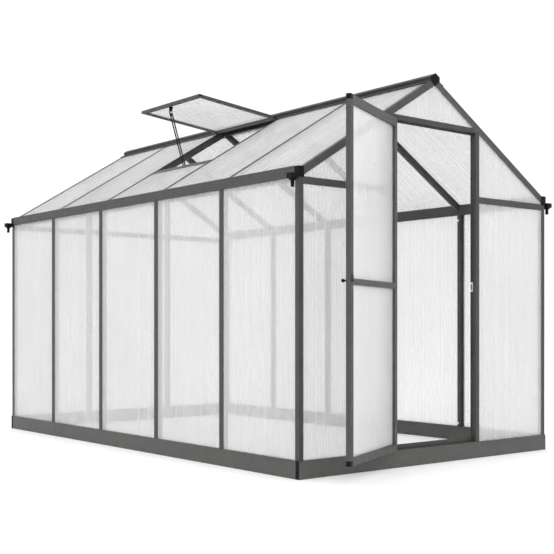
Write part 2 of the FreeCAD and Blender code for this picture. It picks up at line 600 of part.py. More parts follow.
def make_ridge():
    """Ridge beam: hollow crown, box for the bars' ends, flanges over the panes and a hinge bead."""
    body = new_body("ridge_beam")
    lift = "(metal / cos_pitch)"
    crown = "(apex_height + ridge_raise)"
    half = [("ridge_half", f"{crown} - ridge_half * roof_rise"),
            ("ridge_half", f"{roof_z('ridge_half')} + {lift}"),
            ("ridge_flange", f"{roof_z('ridge_flange')} + {lift}"), ("ridge_flange", roof_z("ridge_flange")),
            ("ridge_box", roof_z("ridge_box")), ("ridge_box", "ridge_low")]
    outer = [("0", crown)] + half + [(f"-{a}", b) for a, b in reversed(half)]
    side_wall = "(ridge_half - metal)"
    half = [(side_wall, f"{crown} - {lift} - {side_wall} * roof_rise"),
            (side_wall, f"{roof_z(side_wall)} + {lift}")]
    upper = [("0", f"{crown} - {lift}")] + half + [("0", f"apex_height + {lift}")]
    upper += [(f"-{a}", b) for a, b in reversed(half)]
    box = "(ridge_box - metal)"
    lower = [(box, roof_z(box)), (box, "ridge_low + metal"), (f"-{box}", "ridge_low + metal"),
             (f"-{box}", roof_z(box)), ("0", "apex_height")]
    extrude(body, "section", "XZ", "-gable_face", "gable_face", [outer, upper, lower])
    beads = [(f"{side} * hinge_run", "vent_hinge_z", "bead_radius") for side in (LEFT, RIGHT)]
    for tag, bead in zip(("left", "right"), beads):
        extrude(body, f"{tag}_bead", "XZ", "-gable_face", "gable_face", [], [bead])


def make_ridge_end_caps():
    """Black caps over both ends of the ridge's crown."""
    body = new_body("ridge_end_caps")

    def crown_outline(edge):
        grow = f"({edge})"
        half = [(f"(ridge_half + {grow})", f"apex_height + ridge_raise + {grow} - ridge_half * roof_rise"),
                (f"(ridge_half + {grow})", roof_z("ridge_half") + " - ridge_cap_wall")]
        outline = [("0", f"apex_height + ridge_raise + {grow}")] + half + [("0", "ridge_low + metal")]
        return outline + [(f"-{a}", b) for a, b in reversed(half)]

    for tag, end in (("front", FRONT), ("back", BACK)):
        low, high = ends(end, "gable_face", "half_length")
        extrude(body, tag, "XZ", low, high, [crown_outline("ridge_cap_wall")])


def make_vent_sill():
    """Rail under the vent's free end: groove for the pane below it, hollow tube above the opening."""
    body = new_body("vent_sill")
    tube = "(sill_inner + sill_tube)"
    walls = [("top", "sill_outer", "sill_inner", "0", "metal"),
             ("inner_wall", "sill_inner + metal", "sill_inner", "0", "sill_depth"),
             ("floor", tube, "sill_inner", "sill_depth - metal", "sill_depth"),
             ("outer_wall", tube, f"{tube} - metal", "0", "sill_depth"),
             ("lip", "sill_outer", f"{tube} - metal", "lip_depth", "lip_back")]
    for tag, start, stop, top, bottom in walls:
        slope_strip(body, tag, LEFT, start, stop, top, bottom, "-sill_half", "sill_half")


# ---------------------------------------------------------------- panes
def bay_edges(neck):
    """Low and high edge of each bay's pane, between the necks of the bars beside it."""
    edges = []
    for number in range(BAYS):
        low = "-pane_end" if number == 0 else f"-half_length + {number} * bay + {neck} / 2 + edge_play"
        high = "pane_end"
        if number < BAYS - 1:
            high = f"-half_length + {number + 1} * bay - {neck} / 2 - edge_play"
        edges.append((low, high))
    return edges


def make_side_panes(name, side):
    body = new_body(name)
    near, far = ends(side, "wall_face - pane_far", "wall_face - pane_near")
    top = "gutter_low + gutter_pane_lap"
    for number, (low, high) in enumerate(bay_edges("bar_neck"), start=1):
        extrude(body, f"pane_{number}", "XY", "base_height + pane_play", top,
                [rectangle(near, far, low, high)])


def make_roof_panes(name, side):
    """Panes up one slope; on the left the middle one stops at the vent's sill."""
    body = new_body(name)
    for number, (low, high) in enumerate(bay_edges("roof_neck"), start=1):
        vented = side == LEFT and number == (BAYS + 1) // 2
        stop = "sill_inner + sill_tube + edge_play" if vented else "ridge_box + metal"
        slope_strip(body, f"pane_{number}", side, "wall_face - pane_overhang", stop,
                    "pane_near", "pane_far", low, high)


def gable_side_panes(body, side, end):
    """Two panes beside the doorway or the back studs: below and above the cross beam."""
    tag = "left" if side == LEFT else "right"
    low, high = ends(end, "gable_face - pane_far", "gable_face - pane_near")
    near, far = ends(side, "jamb_outer - jamb_groove + edge_play", "wall_face - post_neck - edge_play")
    lower = rectangle(near, far, "base_height + pane_play", "beam_low + beam_groove - edge_play")
    extrude(body, tag + "_lower", "XZ", low, high, [lower])
    inner = "(jamb_outer - jamb_groove + edge_play)"
    outer = "(rafter_start - edge_play)"
    floor = "beam_high - beam_groove + edge_play"
    depth = "(rafter_tube + edge_play)"
    upper = [(inner, floor), (outer, floor), (outer, roof_z(outer, depth)), (inner, roof_z(inner, depth))]
    extrude(body, tag + "_upper", "XZ", low, high, [mirrored(side, upper)])


def make_front_panes():
    body = new_body("front_panes")
    for side in (LEFT, RIGHT):
        gable_side_panes(body, side, FRONT)
    depth = "(rafter_tube + edge_play)"
    floor = "(head_high - beam_groove + edge_play)"
    half = "((apex_height - rafter_face / cos_pitch - head_high) / roof_rise)"
    top = [(f"-{half}", floor), (half, floor), (half, roof_z(half, depth)), ("crown_half", "crown_high"),
           ("-crown_half", "crown_high"), (f"-{half}", roof_z(half, depth))]
    extrude(body, "over_door", "XZ", "-(gable_face - pane_near)", "-(gable_face - pane_far)", [top])


def make_back_panes():
    body = new_body("back_panes")
    for side in (LEFT, RIGHT):
        gable_side_panes(body, side, BACK)
    edge = "(jamb_inner + jamb_face / 2 - metal - edge_play)"
    low, high = "gable_face - pane_far", "gable_face - pane_near"
    lower = rectangle(f"-{edge}", edge, "base_height + pane_play", "beam_low + beam_groove - edge_play")
    extrude(body, "middle_lower", "XZ", low, high, [lower])
    depth = "(rafter_tube + edge_play)"
    floor = "beam_high - beam_groove + edge_play"
    upper = [(f"-{edge}", floor), (edge, floor), (edge, roof_z(edge, depth)), ("crown_half", "crown_high"),
             ("-crown_half", "crown_high"), (f"-{edge}", roof_z(edge, depth))]
    extrude(body, "middle_upper", "XZ", low, high, [upper])


# ---------------------------------------------------------------- door leaf
# The leaf is drawn closed, about its hinge axis, and then swung open.
def swing_open(body):
    place(body, "placement(vector(0; 0; 0); rotation(vector(0; 0; 1); -door_open);"
                " vector(door_axis_x; door_axis_y; 0))")


def stile_outline(side):
    """Stile section: closed tube at the leaf's edge and a pane groove facing the middle."""
    groove_near, groove_far = "leaf_pane_back - pane_play", "leaf_pane_back + pane + pane_play"
    root = "stile_face - leaf_groove"
    steps = [("0", "0"), ("stile_face", "0"), ("stile_face", groove_near), (root, groove_near),
             (root, groove_far), ("stile_face", groove_far), ("stile_face", "leaf_depth"),
             ("0", "leaf_depth")]
    outer = [(f"{side} * (leaf_half - ({a}))", f"-(leaf_front - ({b}))") for a, b in steps]
    core = [("metal", "metal"), (f"{root} - metal", "metal"), (f"{root} - metal", "leaf_depth - metal"),
            ("metal", "leaf_depth - metal")]
    inner = [(f"{side} * (leaf_half - ({a}))", f"-(leaf_front - ({b}))") for a, b in core]
    return [outer, inner]


def make_hinge_stile():
    body = new_body("door_hinge_stile")
    extrude(body, "section", "XY", "leaf_low", "leaf_high", stile_outline(LEFT))
    swing_open(body)


def make_latch_stile():
    """Free stile: cut back at both ends for its plastic caps, bored for the latch spindle."""
    body = new_body("door_latch_stile")
    extrude(body, "section", "XY", "leaf_low", "leaf_high", stile_outline(RIGHT))
    corner = rectangle("leaf_half - stile_cap_face", "leaf_half + metal",
                       "-(leaf_front + metal)", "-(leaf_back - metal)")
    extrude(body, "top_notch", "XY", "leaf_high - stile_cap_height", "leaf_high + metal", [corner], cut=True)
    extrude(body, "foot_notch", "XY", "leaf_low - metal", "leaf_low + stile_cap_height", [corner], cut=True)
    bore = [("latch_x", "latch_height", "spindle_radius + spindle_play")]
    extrude(body, "spindle_bore", "XZ", "-(leaf_front + metal)", "-(leaf_back - metal)", [], bore, cut=True)
    swing_open(body)


def make_stile_caps():
    """Black corner caps on the two ends of the free stile."""
    body = new_body("door_stile_caps")
    plan = rectangle("leaf_half - stile_cap_face", "leaf_half",
                     "-leaf_front", "-(leaf_back - stile_cap_proud)")
    extrude(body, "top", "XY", "leaf_high - stile_cap_height", "leaf_high", [plan])
    extrude(body, "foot", "XY", "leaf_low", "leaf_low + stile_cap_height", [plan])
    swing_open(body)


def rail_outline(low, high, groove_top, groove_bottom):
    """Door rail section with a pane groove in its top, its bottom, or both."""
    near, far = "-(leaf_front - leaf_pane_back + pane_play)", "-(leaf_front - leaf_pane_back - pane - pane_play)"
    outer, inner = "-leaf_front", "-leaf_back"
    points = [(outer, low)]
    if groove_bottom:
        points += [(near, low), (near, f"{low} + leaf_groove"), (far, f"{low} + leaf_groove"), (far, low)]
    points += [(inner, low), (inner, high)]
    if groove_top:
        points += [(far, high), (far, f"{high} - leaf_groove"), (near, f"{high} - leaf_groove"), (near, high)]
    return points + [(outer, high)]


def make_door_rail(name, low, high, groove_top, groove_bottom):
    body = new_body(name)
    outline = rail_outline(low, high, groove_top, groove_bottom)
    reach = "(leaf_half - stile_face)"
    floor = f"{low} + leaf_groove + metal" if groove_bottom else f"{low} + metal"
    roof = f"{high} - leaf_groove - metal" if groove_top else f"{high} - metal"
    core = rectangle("-(leaf_front - metal)", "-(leaf_back + metal)", floor, roof)
    extrude(body, "section", "YZ", f"-{reach}", reach, [outline, core])
    swing_open(body)


def make_door_panes():
    body = new_body("door_panes")
    reach = "(leaf_half - stile_face + leaf_groove - edge_play)"
    low, high = "-(leaf_front - leaf_pane_back)", "-(leaf_front - leaf_pane_back - pane)"
    lift = "leaf_groove - edge_play"
    lower = rectangle(f"-{reach}", reach, f"leaf_low + bottom_rail - ({lift})", f"middle_rail_low + {lift}")
    upper = rectangle(f"-{reach}", reach, f"middle_rail_low + middle_rail - ({lift})",
                      f"leaf_high - top_rail + {lift}")
    extrude(body, "lower", "XZ", low, high, [lower])
    extrude(body, "upper", "XZ", low, high, [upper])
    swing_open(body)


# ---------------------------------------------------------------- door hinges
def hinge_places():
    """Height of each hinge's lower end."""
    pitch = f"((leaf_high - leaf_low - 2 * hinge_first - hinge_length) / {HINGES - 1})"
    return [f"(leaf_low + hinge_first + {i} * {pitch})" for i in range(HINGES)]


def make_jamb_hinges():
    """Fixed hinge halves on the jamb: a plate with a knuckle at each end, gripping the pin."""
    body = new_body("jamb_hinges")
    axis = ("door_axis_x", "door_axis_y")
    plate = rectangle("door_axis_x - knuckle_radius - hinge_plate", "door_axis_x", "-(gable_face + hinge_sheet)",
                      "-gable_face")
    hole = [(axis[0], axis[1], "pin_radius")]
    for number, foot in enumerate(hinge_places(), start=1):
        for tag, low, high in (("low", foot, f"{foot} + knuckle_share"),
                               ("high", f"{foot} + hinge_length - knuckle_share", f"{foot} + hinge_length")):
            extrude(body, f"knuckle_{number}_{tag}", "XY", low, high, [], [(*axis, "knuckle_radius")])
            extrude(body, f"tab_{number}_{tag}", "XY", low, high, [plate])
        plate_edge = rectangle("door_axis_x - knuckle_radius - hinge_plate",
                               "door_axis_x - knuckle_radius - knuckle_gap",
                               "-(gable_face + hinge_sheet)", "-gable_face")
        extrude(body, f"plate_{number}", "XY", foot, f"{foot} + hinge_length", [plate_edge])
        extrude(body, f"bore_{number}", "XY", foot, f"{foot} + hinge_length", [], hole, cut=True)


def make_leaf_hinges():
    """Moving hinge halves on the leaf: a plate and a middle knuckle that turns on the pin."""
    body = new_body("leaf_hinges")
    for number, foot in enumerate(hinge_places(), start=1):
        low = f"({foot} + knuckle_share + knuckle_gap)"
        high = f"({foot} + hinge_length - knuckle_share - knuckle_gap)"
        knuckle = [("door_axis_x", "door_axis_y", "knuckle_radius")]
        tab = rectangle("door_axis_x", "door_axis_x + knuckle_radius + hinge_plate",
                        "-(leaf_front + hinge_sheet)", "-leaf_front")
        plate = rectangle("door_axis_x + knuckle_radius + knuckle_gap",
                          "door_axis_x + knuckle_radius + hinge_plate",
                          "-(leaf_front + hinge_sheet)", "-leaf_front")
        extrude(body, f"knuckle_{number}", "XY", low, high, [], knuckle)
        extrude(body, f"tab_{number}", "XY", low, high, [tab])
        extrude(body, f"plate_{number}", "XY", foot, f"{foot} + hinge_length", [plate])
        bore = [("door_axis_x", "door_axis_y", "pin_radius + pin_play")]
        extrude(body, f"bore_{number}", "XY", foot, f"{foot} + hinge_length", [], bore, cut=True)
    swing_open(body)


def make_hinge_pins():
    body = new_body("hinge_pins")
    for number, foot in enumerate(hinge_places(), start=1):
        pin = [("door_axis_x", "door_axis_y", "pin_radius")]
        head = [("door_axis_x", "door_axis_y", "knuckle_radius - pin_head / 2")]
        top = f"{foot} + hinge_length"
        extrude(body, f"pin_{number}", "XY", foot, top, [], pin)
        extrude(body, f"head_{number}", "XY", top, f"{top} + pin_head", [], head)


# ---------------------------------------------------------------- door latch
def make_latch_knob():
    """Turn knob with its spindle through the stile."""
    body = new_body("latch_knob")
    centre = ("latch_x", "latch_height")
    face = "(leaf_front + rose_sheet + pane_play)"
    extrude(body, "spindle", "XZ", f"-{face}", "-(tongue_front - tongue_thick)", [], [(*centre, "spindle_radius")])
    extrude(body, "stem", "XZ", f"-({face} + knob_stem)", f"-{face}", [], [(*centre, "stem_radius")])
    extrude(body, "knob", "XZ", f"-({face} + knob_stem + knob_thick)", f"-({face} + knob_stem)", [],
            [(*centre, "knob_radius")])
    swing_open(body)


def make_latch_rose():
    """Small plate under the knob."""
    body = new_body("latch_rose")
    plate = rectangle("latch_x - rose_size / 2", "latch_x + rose_size / 2",
                      "latch_height - rose_size / 2", "latch_height + rose_size / 2")
    extrude(body, "plate", "XZ", "-(leaf_front + rose_sheet)", "-leaf_front", [plate],
            [("latch_x", "latch_height", "spindle_radius + spindle_play")])
    swing_open(body)


def make_latch_tongue():
    """Tongue on the spindle's inner end; upright it lies within the stile, level it enters the keeper."""
    body = new_body("latch_tongue")
    blade = rectangle("latch_x - tongue_width / 2", "latch_x + tongue_width / 2",
                      "latch_height - tongue_width / 2", "latch_height + tongue_reach")
    extrude(body, "blade", "XZ", "-tongue_front", "-(tongue_front - tongue_thick)", [blade],
            [("latch_x", "latch_height", "spindle_radius")])
    swing_open(body)


def make_keeper():
    """Zinc plate on the jamb with the slot that the tongue turns into."""
    body = new_body("latch_keeper")
    middle = "-keeper_mid"
    low = "(latch_height + keeper_slot_high / 2 - keeper_slot_low / 2 - keeper_height / 2)"
    plate = rectangle(f"{middle} - keeper_width / 2", f"{middle} + keeper_width / 2",
                      low, f"{low} + keeper_height")
    slot = rectangle(f"{middle} - keeper_slot_width / 2", f"{middle} + keeper_slot_width / 2",
                     "latch_height - keeper_slot_low", "latch_height + keeper_slot_high")
    extrude(body, "plate", "YZ", "jamb_inner - keeper_sheet", "jamb_inner", [plate, slot])


# ---------------------------------------------------------------- roof vent
# The vent is drawn about its hinge bead: +X down the leaf, +Z out of its face, -Y along the house.
def set_vent(body):
    place(body, "placement(vector(-hinge_run; 0; vent_hinge_z); rotation(180; roof_pitch - vent_open; 0))")


def vent_rail_outline(base, sign):
    """Hollow rail section across the leaf's plane, its pane groove facing inwards from the edge at base."""
    steps = [("0", "vent_floor"), ("vent_rail", "vent_floor"), ("vent_rail", "vent_pane_low - pane_play"),
             ("vent_rail - vent_groove", "vent_pane_low - pane_play"),
             ("vent_rail - vent_groove", "vent_pane_low + pane + pane_play"),
             ("vent_rail", "vent_pane_low + pane + pane_play"), ("vent_rail", "vent_roof"), ("0", "vent_roof")]
    outer = [(f"{base} {sign} ({a})", b) for a, b in steps]
    wall = "metal"
    core = [(wall, f"vent_floor + {wall}"), (f"vent_rail - vent_groove - {wall}", f"vent_floor + {wall}"),
            (f"vent_rail - vent_groove - {wall}", f"vent_roof - {wall}"), (wall, f"vent_roof - {wall}")]
    inner = [(f"{base} {sign} ({a})", b) for a, b in core]
    return [outer, inner]


def make_vent_top_rail():
    """Top rail whose hook wraps the ridge's bead."""
    body = new_body("vent_top_rail")
    start = "(bead_radius + hook_wall)"
    extrude(body, "rail", "XZ", "-vent_half", "vent_half", vent_rail_outline(start, "+"))
    extrude(body, "hook", "XZ", "-hook_half", "hook_half", [], [("0", "0", f"{start} + bead_play")])
    extrude(body, "groove", "XZ", "-hook_half", "hook_half", [], [("0", "0", "bead_radius + bead_play")],
            cut=True)
    reach = "(2 * (bead_radius + hook_wall))"
    mouth = [("0", "0"), (f"{reach} * cos(hook_from * 1deg)", f"{reach} * sin(hook_from * 1deg)"),
             (f"-{reach}", f"-{reach}"), (f"{reach} * cos(hook_to * 1deg)", f"{reach} * sin(hook_to * 1deg)")]
    extrude(body, "mouth", "XZ", "-hook_half", "hook_half", [mouth], cut=True)
    set_vent(body)


def make_vent_side_rails():
    """Two side rails between the top rail and the free rail."""
    body = new_body("vent_side_rails")
    for tag, base, sign in (("front", "vent_half", "-"), ("back", "-vent_half", "+")):
        extrude(body, tag, "YZ", "bead_radius + hook_wall + vent_rail", "vent_length - vent_rail",
                vent_rail_outline(base, sign))
    set_vent(body)


def make_vent_free_rail():
    body = new_body("vent_free_rail")
    extrude(body, "rail", "XZ", "-vent_half", "vent_half", vent_rail_outline("vent_length", "-"))
    set_vent(body)


def make_vent_pane():
    body = new_body("vent_pane")
    seat = "vent_rail - vent_groove + edge_play"
    plan = rectangle(f"bead_radius + hook_wall + {seat}", f"vent_length - ({seat})",
                     f"-(vent_half - ({seat}))", f"vent_half - ({seat})")
    extrude(body, "pane", "XY", "vent_pane_low", "vent_pane_low + pane", [plan])
    set_vent(body)


# ---------------------------------------------------------------- vent stay
def make_vent_bracket():
    """Tapered bracket under the free rail that carries the stay's pivot."""
    body = new_body("vent_bracket")
    along = "stay_radius * cos(pivot_angle * 1deg)"
    eye = "bracket_eye"
    inner = "(vent_length - vent_rail)"
    roof = "(vent_pane_low - 2 * pane_play)"
    plate = [(f"{inner} - bracket_base", roof), (inner, roof), (inner, "vent_floor - bracket_sheet"),
             (f"{along} + {eye}", f"-(pivot_drop + {eye} / 2)"),
             (f"{along} + {eye} / 2", f"-(pivot_drop + {eye})"),
             (f"{along} - {eye} / 2", f"-(pivot_drop + {eye})"),
             (f"{along} - {eye}", f"-(pivot_drop + {eye} / 2)")]
    near = "(stay_far + bracket_gap)"
    extrude(body, "plate", "XZ", f"-({near} + bracket_sheet)", f"-{near}", [plate])
    foot = rectangle(f"{inner} - bracket_sheet", inner, "vent_floor", roof)
    extrude(body, "foot", "XZ", f"-({near} + bracket_sheet + bracket_eye)", f"-{near}", [foot])
    bore = [(along, "-pivot_drop", "stud_radius")]
    extrude(body, "bore", "XZ", f"-({near} + bracket_sheet)", f"-{near}", [], bore, cut=True)
    set_vent(body)


def make_stay_rivet():
    """Rivet through the bracket and the stay's upper end."""
    body = new_body("stay_rivet")
    centre = ("stay_radius * cos(pivot_angle * 1deg)", "-pivot_drop")
    low = "(stay_side - spindle_play * 5)"
    high = "(stay_far + bracket_gap + bracket_sheet)"
    extrude(body, "shank", "XZ", f"-{high}", f"-{low}", [], [(*centre, "stud_radius")])
    extrude(body, "outer_head", "XZ", f"-({high} + rivet_rise)", f"-{high}", [], [(*centre, "rivet_head")])
    extrude(body, "inner_head", "XZ", f"-{low}", f"-({low} - rivet_rise)", [], [(*centre, "rivet_head")])
    set_vent(body)


def make_stay_bar():
    """Slotted bar; drawn about its pivot, +X along the slot."""
    body = new_body("stay_bar")
    half = "(stay_width / 2)"
    far = "(stay_travel + stay_end)"
    bar = [("-stay_end", f"-{half} / 2"), (f"-stay_end / 2", f"-{half}"), (f"{far}", f"-{half}"),
           (f"{far} + {half} / 2", f"-{half} / 2"), (f"{far} + {half} / 2", f"{half} / 2"),
           (f"{far}", half), (f"-stay_end / 2", half), ("-stay_end", f"{half} / 2")]
    play = "(stud_radius + stud_play)"
    slot = rectangle(f"slot_start - {play}", f"stay_travel + {play}", f"-{play}", play)
    extrude(body, "bar", "XZ", "stay_side", "stay_far", [bar, slot], [("0", "0", "stud_radius + spindle_play")])
    place(body, "placement(vector(pivot_x; 0; pivot_z); rotation(0; stay_tilt; 0))")


def make_sill_bracket():
    """Bracket under the sill that carries the stay's stud."""
    body = new_body("sill_bracket")
    inner = "(sill_inner + metal)"
    outer = "(sill_inner + sill_tube)"
    eye = "bracket_eye"
    near, far = "(-stud_x - bracket_eye)", "(-stud_x + bracket_eye)"
    plate = [(inner, roof_z(inner, "sill_depth")), (outer, roof_z(outer, "sill_depth")),
             (f"{far}", f"stud_z - {eye} / 2"), (f"{far} - {eye} / 2", f"stud_z - {eye}"),
             (f"{near} + {eye} / 2", f"stud_z - {eye}"), (near, f"stud_z - {eye} / 2"),
             (near, f"stud_z + {eye} / 2")]
    far_face = "(stay_side - bracket_gap)"
    extrude(body, "plate", "XZ", f"{far_face} - bracket_sheet", far_face, [mirrored(LEFT, plate)])
    foot = slope_outline(LEFT, outer, inner, "sill_depth", "sill_depth + bracket_sheet")
    extrude(body, "foot", "XZ", f"{far_face} - bracket_sheet - bracket_eye", far_face, [foot])
    bore = [("stud_x", "stud_z", "stud_radius")]
    extrude(body, "bore", "XZ", f"{far_face} - bracket_sheet", far_face, [], bore, cut=True)


def make_stay_stud():
    """Fixed stud that runs in the stay's slot and takes the clamp knob."""
    body = new_body("stay_stud")
    back = "(stay_side - bracket_gap - bracket_sheet)"
    tip = "(stay_far + bracket_gap + clamp_thick)"
    centre = ("stud_x", "stud_z")
    extrude(body, "stud", "XZ", back, tip, [], [(*centre, "stud_radius")])
    extrude(body, "head", "XZ", f"{back} - rivet_rise", back, [], [(*centre, "rivet_head")])


def make_clamp_knob():
    """Hand knob that turns on the stud and clamps the stay."""
    body = new_body("stay_clamp_knob")
    low = "(stay_far + bracket_gap)"
    lobes = 6
    ring = "(clamp_radius - clamp_flats)"
    outline = [(f"stud_x + {'clamp_radius' if i % 2 else ring} * cos({i * 180 / lobes} * 1deg)",
                f"stud_z + {'clamp_radius' if i % 2 else ring} * sin({i * 180 / lobes} * 1deg)")
               for i in range(2 * lobes)]
    bore = [("stud_x", "stud_z", "stud_radius + spindle_play")]
    extrude(body, "knob", "XZ", low, f"{low} + clamp_thick", [outline], bore)


# ---------------------------------------------------------------- the whole house
def build():
    for word, end in (("front", FRONT), ("back", BACK)):
        make_base_end_rail(f"base_rail_{word}", end)
    for word, side in (("left", LEFT), ("right", RIGHT)):
        make_wall_bars(f"wall_bars_{word}", side)
        make_gutter(f"gutter_{word}", side)
        make_roof_bars(f"roof_bars_{word}", side)
        make_side_panes(f"wall_panes_{word}", side)
        make_roof_panes(f"roof_panes_{word}", side)
        make_jamb(f"door_jamb_{word}", side)
        for end_word, end in (("front", FRONT), ("back", BACK)):
            make_corner_post(f"corner_post_{end_word}_{word}", side, end)
            make_rafter(f"rafter_{end_word}_{word}", side, end)
    make_base_side_rails()
    make_base_end_caps()
    make_base_brackets()
    make_gutter_ends()
    span = "(wall_face - post_face)"
    make_cross_beams("cross_beams_front", FRONT, [("left", f"-{span}", "-jamb_outer"),
                                                  ("right", "jamb_outer", span)])
    make_cross_beams("cross_beams_back", BACK, [("left", f"-{span}", "-jamb_outer"),
                                                ("middle", "-jamb_inner", "jamb_inner"),
                                                ("right", "jamb_outer", span)])
    make_back_studs()
    make_door_head()
    make_threshold()
    make_ridge()
    make_ridge_end_caps()
    make_vent_sill()
    make_front_panes()
    make_back_panes()

    make_hinge_stile()
    make_latch_stile()
    make_stile_caps()
    make_door_rail("door_top_rail", "(leaf_high - top_rail)", "leaf_high", False, True)
    make_door_rail("door_middle_rail", "middle_rail_low", "(middle_rail_low + middle_rail)", True, True)
    make_door_rail("door_bottom_rail", "leaf_low", "(leaf_low + bottom_rail)", True, False)
    make_door_panes()
    make_jamb_hinges()
    make_leaf_hinges()
    make_hinge_pins()
    make_latch_knob()
    make_latch_rose()
    make_latch_tongue()
    make_keeper()

    make_vent_top_rail()
    make_vent_side_rails()
    make_vent_free_rail()
    make_vent_pane()
    make_vent_bracket()
    make_stay_rivet()
    make_stay_bar()
    make_sill_bracket()
    make_stay_stud()
    make_clamp_knob()


def check_and_write():
    doc.recompute()
    for item in doc.Objects:
        if "Invalid" in item.State or "Error" in item.State:
            raise RuntimeError(f"{item.Name} did not recompute")
    os.makedirs("parts", exist_ok=True)
    for body in NODES:
        shape = body.Shape
        if shape.isNull() or not shape.isValid() or not shape.Solids:
            raise RuntimeError(f"{body.Label} has no valid solid")
        shape.exportStep(f"parts/{body.Label}.step")
        print(f"{body.Label}: {len(shape.Solids)} solids, {shape.Volume / 1000:.1f} cm3")


build()
check_and_write()
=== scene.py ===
"""Looks of the walk-in greenhouse: powder-coated frame, twin-wall sheets, black end pieces, zinc fittings."""
import json
import math

import bmesh
import bpy
from mathutils import Matrix, Vector
from mathutils.geometry import convex_hull_2d


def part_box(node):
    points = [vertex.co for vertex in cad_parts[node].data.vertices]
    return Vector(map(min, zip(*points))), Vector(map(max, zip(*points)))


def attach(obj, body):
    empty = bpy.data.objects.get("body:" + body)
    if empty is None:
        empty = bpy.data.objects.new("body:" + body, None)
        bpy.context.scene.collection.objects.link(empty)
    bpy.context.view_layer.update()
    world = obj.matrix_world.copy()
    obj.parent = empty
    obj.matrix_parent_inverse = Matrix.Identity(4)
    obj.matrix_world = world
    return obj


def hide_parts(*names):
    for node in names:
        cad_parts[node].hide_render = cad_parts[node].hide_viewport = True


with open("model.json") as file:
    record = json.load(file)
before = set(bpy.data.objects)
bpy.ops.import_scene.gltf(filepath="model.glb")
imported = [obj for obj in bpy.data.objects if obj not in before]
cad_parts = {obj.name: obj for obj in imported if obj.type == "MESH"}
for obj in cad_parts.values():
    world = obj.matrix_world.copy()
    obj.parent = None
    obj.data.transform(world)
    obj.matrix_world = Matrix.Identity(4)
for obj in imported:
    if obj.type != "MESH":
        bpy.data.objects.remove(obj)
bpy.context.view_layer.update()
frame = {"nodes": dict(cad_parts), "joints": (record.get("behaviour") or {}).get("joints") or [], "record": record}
MM = 0.001
NODE_BODY = {node: body for body, nodes in frame["record"]["behaviour"]["bodies"].items() for node in nodes}
NODE_SLOT = {part["node"]: part["material_slot"] for part in frame["record"]["subparts"]}
JOINTS = {joint["name"]: joint for joint in frame["joints"]}
UP = Vector((0, 0, 1))
NOISE_LOW, NOISE_HIGH = 0.3, 0.7


# ---------------------------------------------------------------- node helpers
def new_material(name):
    """A material with its Principled shader, node tree and object coordinates."""
    material = bpy.data.materials.new(name)
    material.use_nodes = True
    tree = material.node_tree
    shader = tree.nodes["Principled BSDF"]
    coords = tree.nodes.new("ShaderNodeTexCoord").outputs["Object"]
    return material, tree, shader, coords


def stretched(tree, coords, stretch):
    """Coordinates scaled by three factors."""
    mapping = tree.nodes.new("ShaderNodeMapping")
    mapping.inputs["Scale"].default_value = stretch
    tree.links.new(coords, mapping.inputs["Vector"])
    return mapping.outputs["Vector"]


def noise(tree, vector, scale, detail=3.0, roughness=0.55):
    """Value of a noise texture, mostly between NOISE_LOW and NOISE_HIGH."""
    node = tree.nodes.new("ShaderNodeTexNoise")
    node.inputs["Scale"].default_value = scale
    node.inputs["Detail"].default_value = detail
    node.inputs["Roughness"].default_value = roughness
    tree.links.new(vector, node.inputs["Vector"])
    return node.outputs["Fac"]


def ranged(tree, value, from_low, from_high, to_low, to_high):
    """A value mapped from one span to another."""
    node = tree.nodes.new("ShaderNodeMapRange")
    for socket, number in zip(("From Min", "From Max", "To Min", "To Max"),
                              (from_low, from_high, to_low, to_high)):
        node.inputs[socket].default_value = number
    tree.links.new(value, node.inputs["Value"])
    return node.outputs["Result"]


def spread(tree, value, low, high):
    """A noise value spread over its usual span, from low to high."""
    return ranged(tree, value, NOISE_LOW, NOISE_HIGH, low, high)


def mixed(tree, factor, first, second):
    """Colour between two colours; each is a tuple or a colour socket."""
    node = tree.nodes.new("ShaderNodeMix")
    node.data_type = "RGBA"
    tree.links.new(factor, node.inputs["Factor"])
    for socket, colour in ((node.inputs["A"], first), (node.inputs["B"], second)):
        if isinstance(colour, tuple):
            socket.default_value = (*colour, 1)
        else:
            tree.links.new(colour, socket)
    return node.outputs["Result"]


def combined(tree, operation, first, second):
    """Result of one arithmetic operation on two values; each is a number or a socket."""
    node = tree.nodes.new("ShaderNodeMath")
    node.operation = operation
    for socket, value in zip(node.inputs, (first, second)):
        if isinstance(value, (int, float)):
            socket.default_value = value
        else:
            tree.links.new(value, socket)
    return node.outputs["Value"]


def bump(tree, shader, height, strength, distance):
    """Relief of a surface from a height value."""
    node = tree.nodes.new("ShaderNodeBump")
    node.inputs["Strength"].default_value = strength
    node.inputs["Distance"].default_value = distance
    tree.links.new(height, node.inputs["Height"])
    tree.links.new(node.outputs["Normal"], shader.inputs["Normal"])


def edge_wear_and_highlight(tree, low, high):
    """From 0 on flat faces to 1 on sharp outer edges."""
    geometry = tree.nodes.new("ShaderNodeNewGeometry")
    return ranged(tree, geometry.outputs["Pointiness"], low, high, 0, 1)


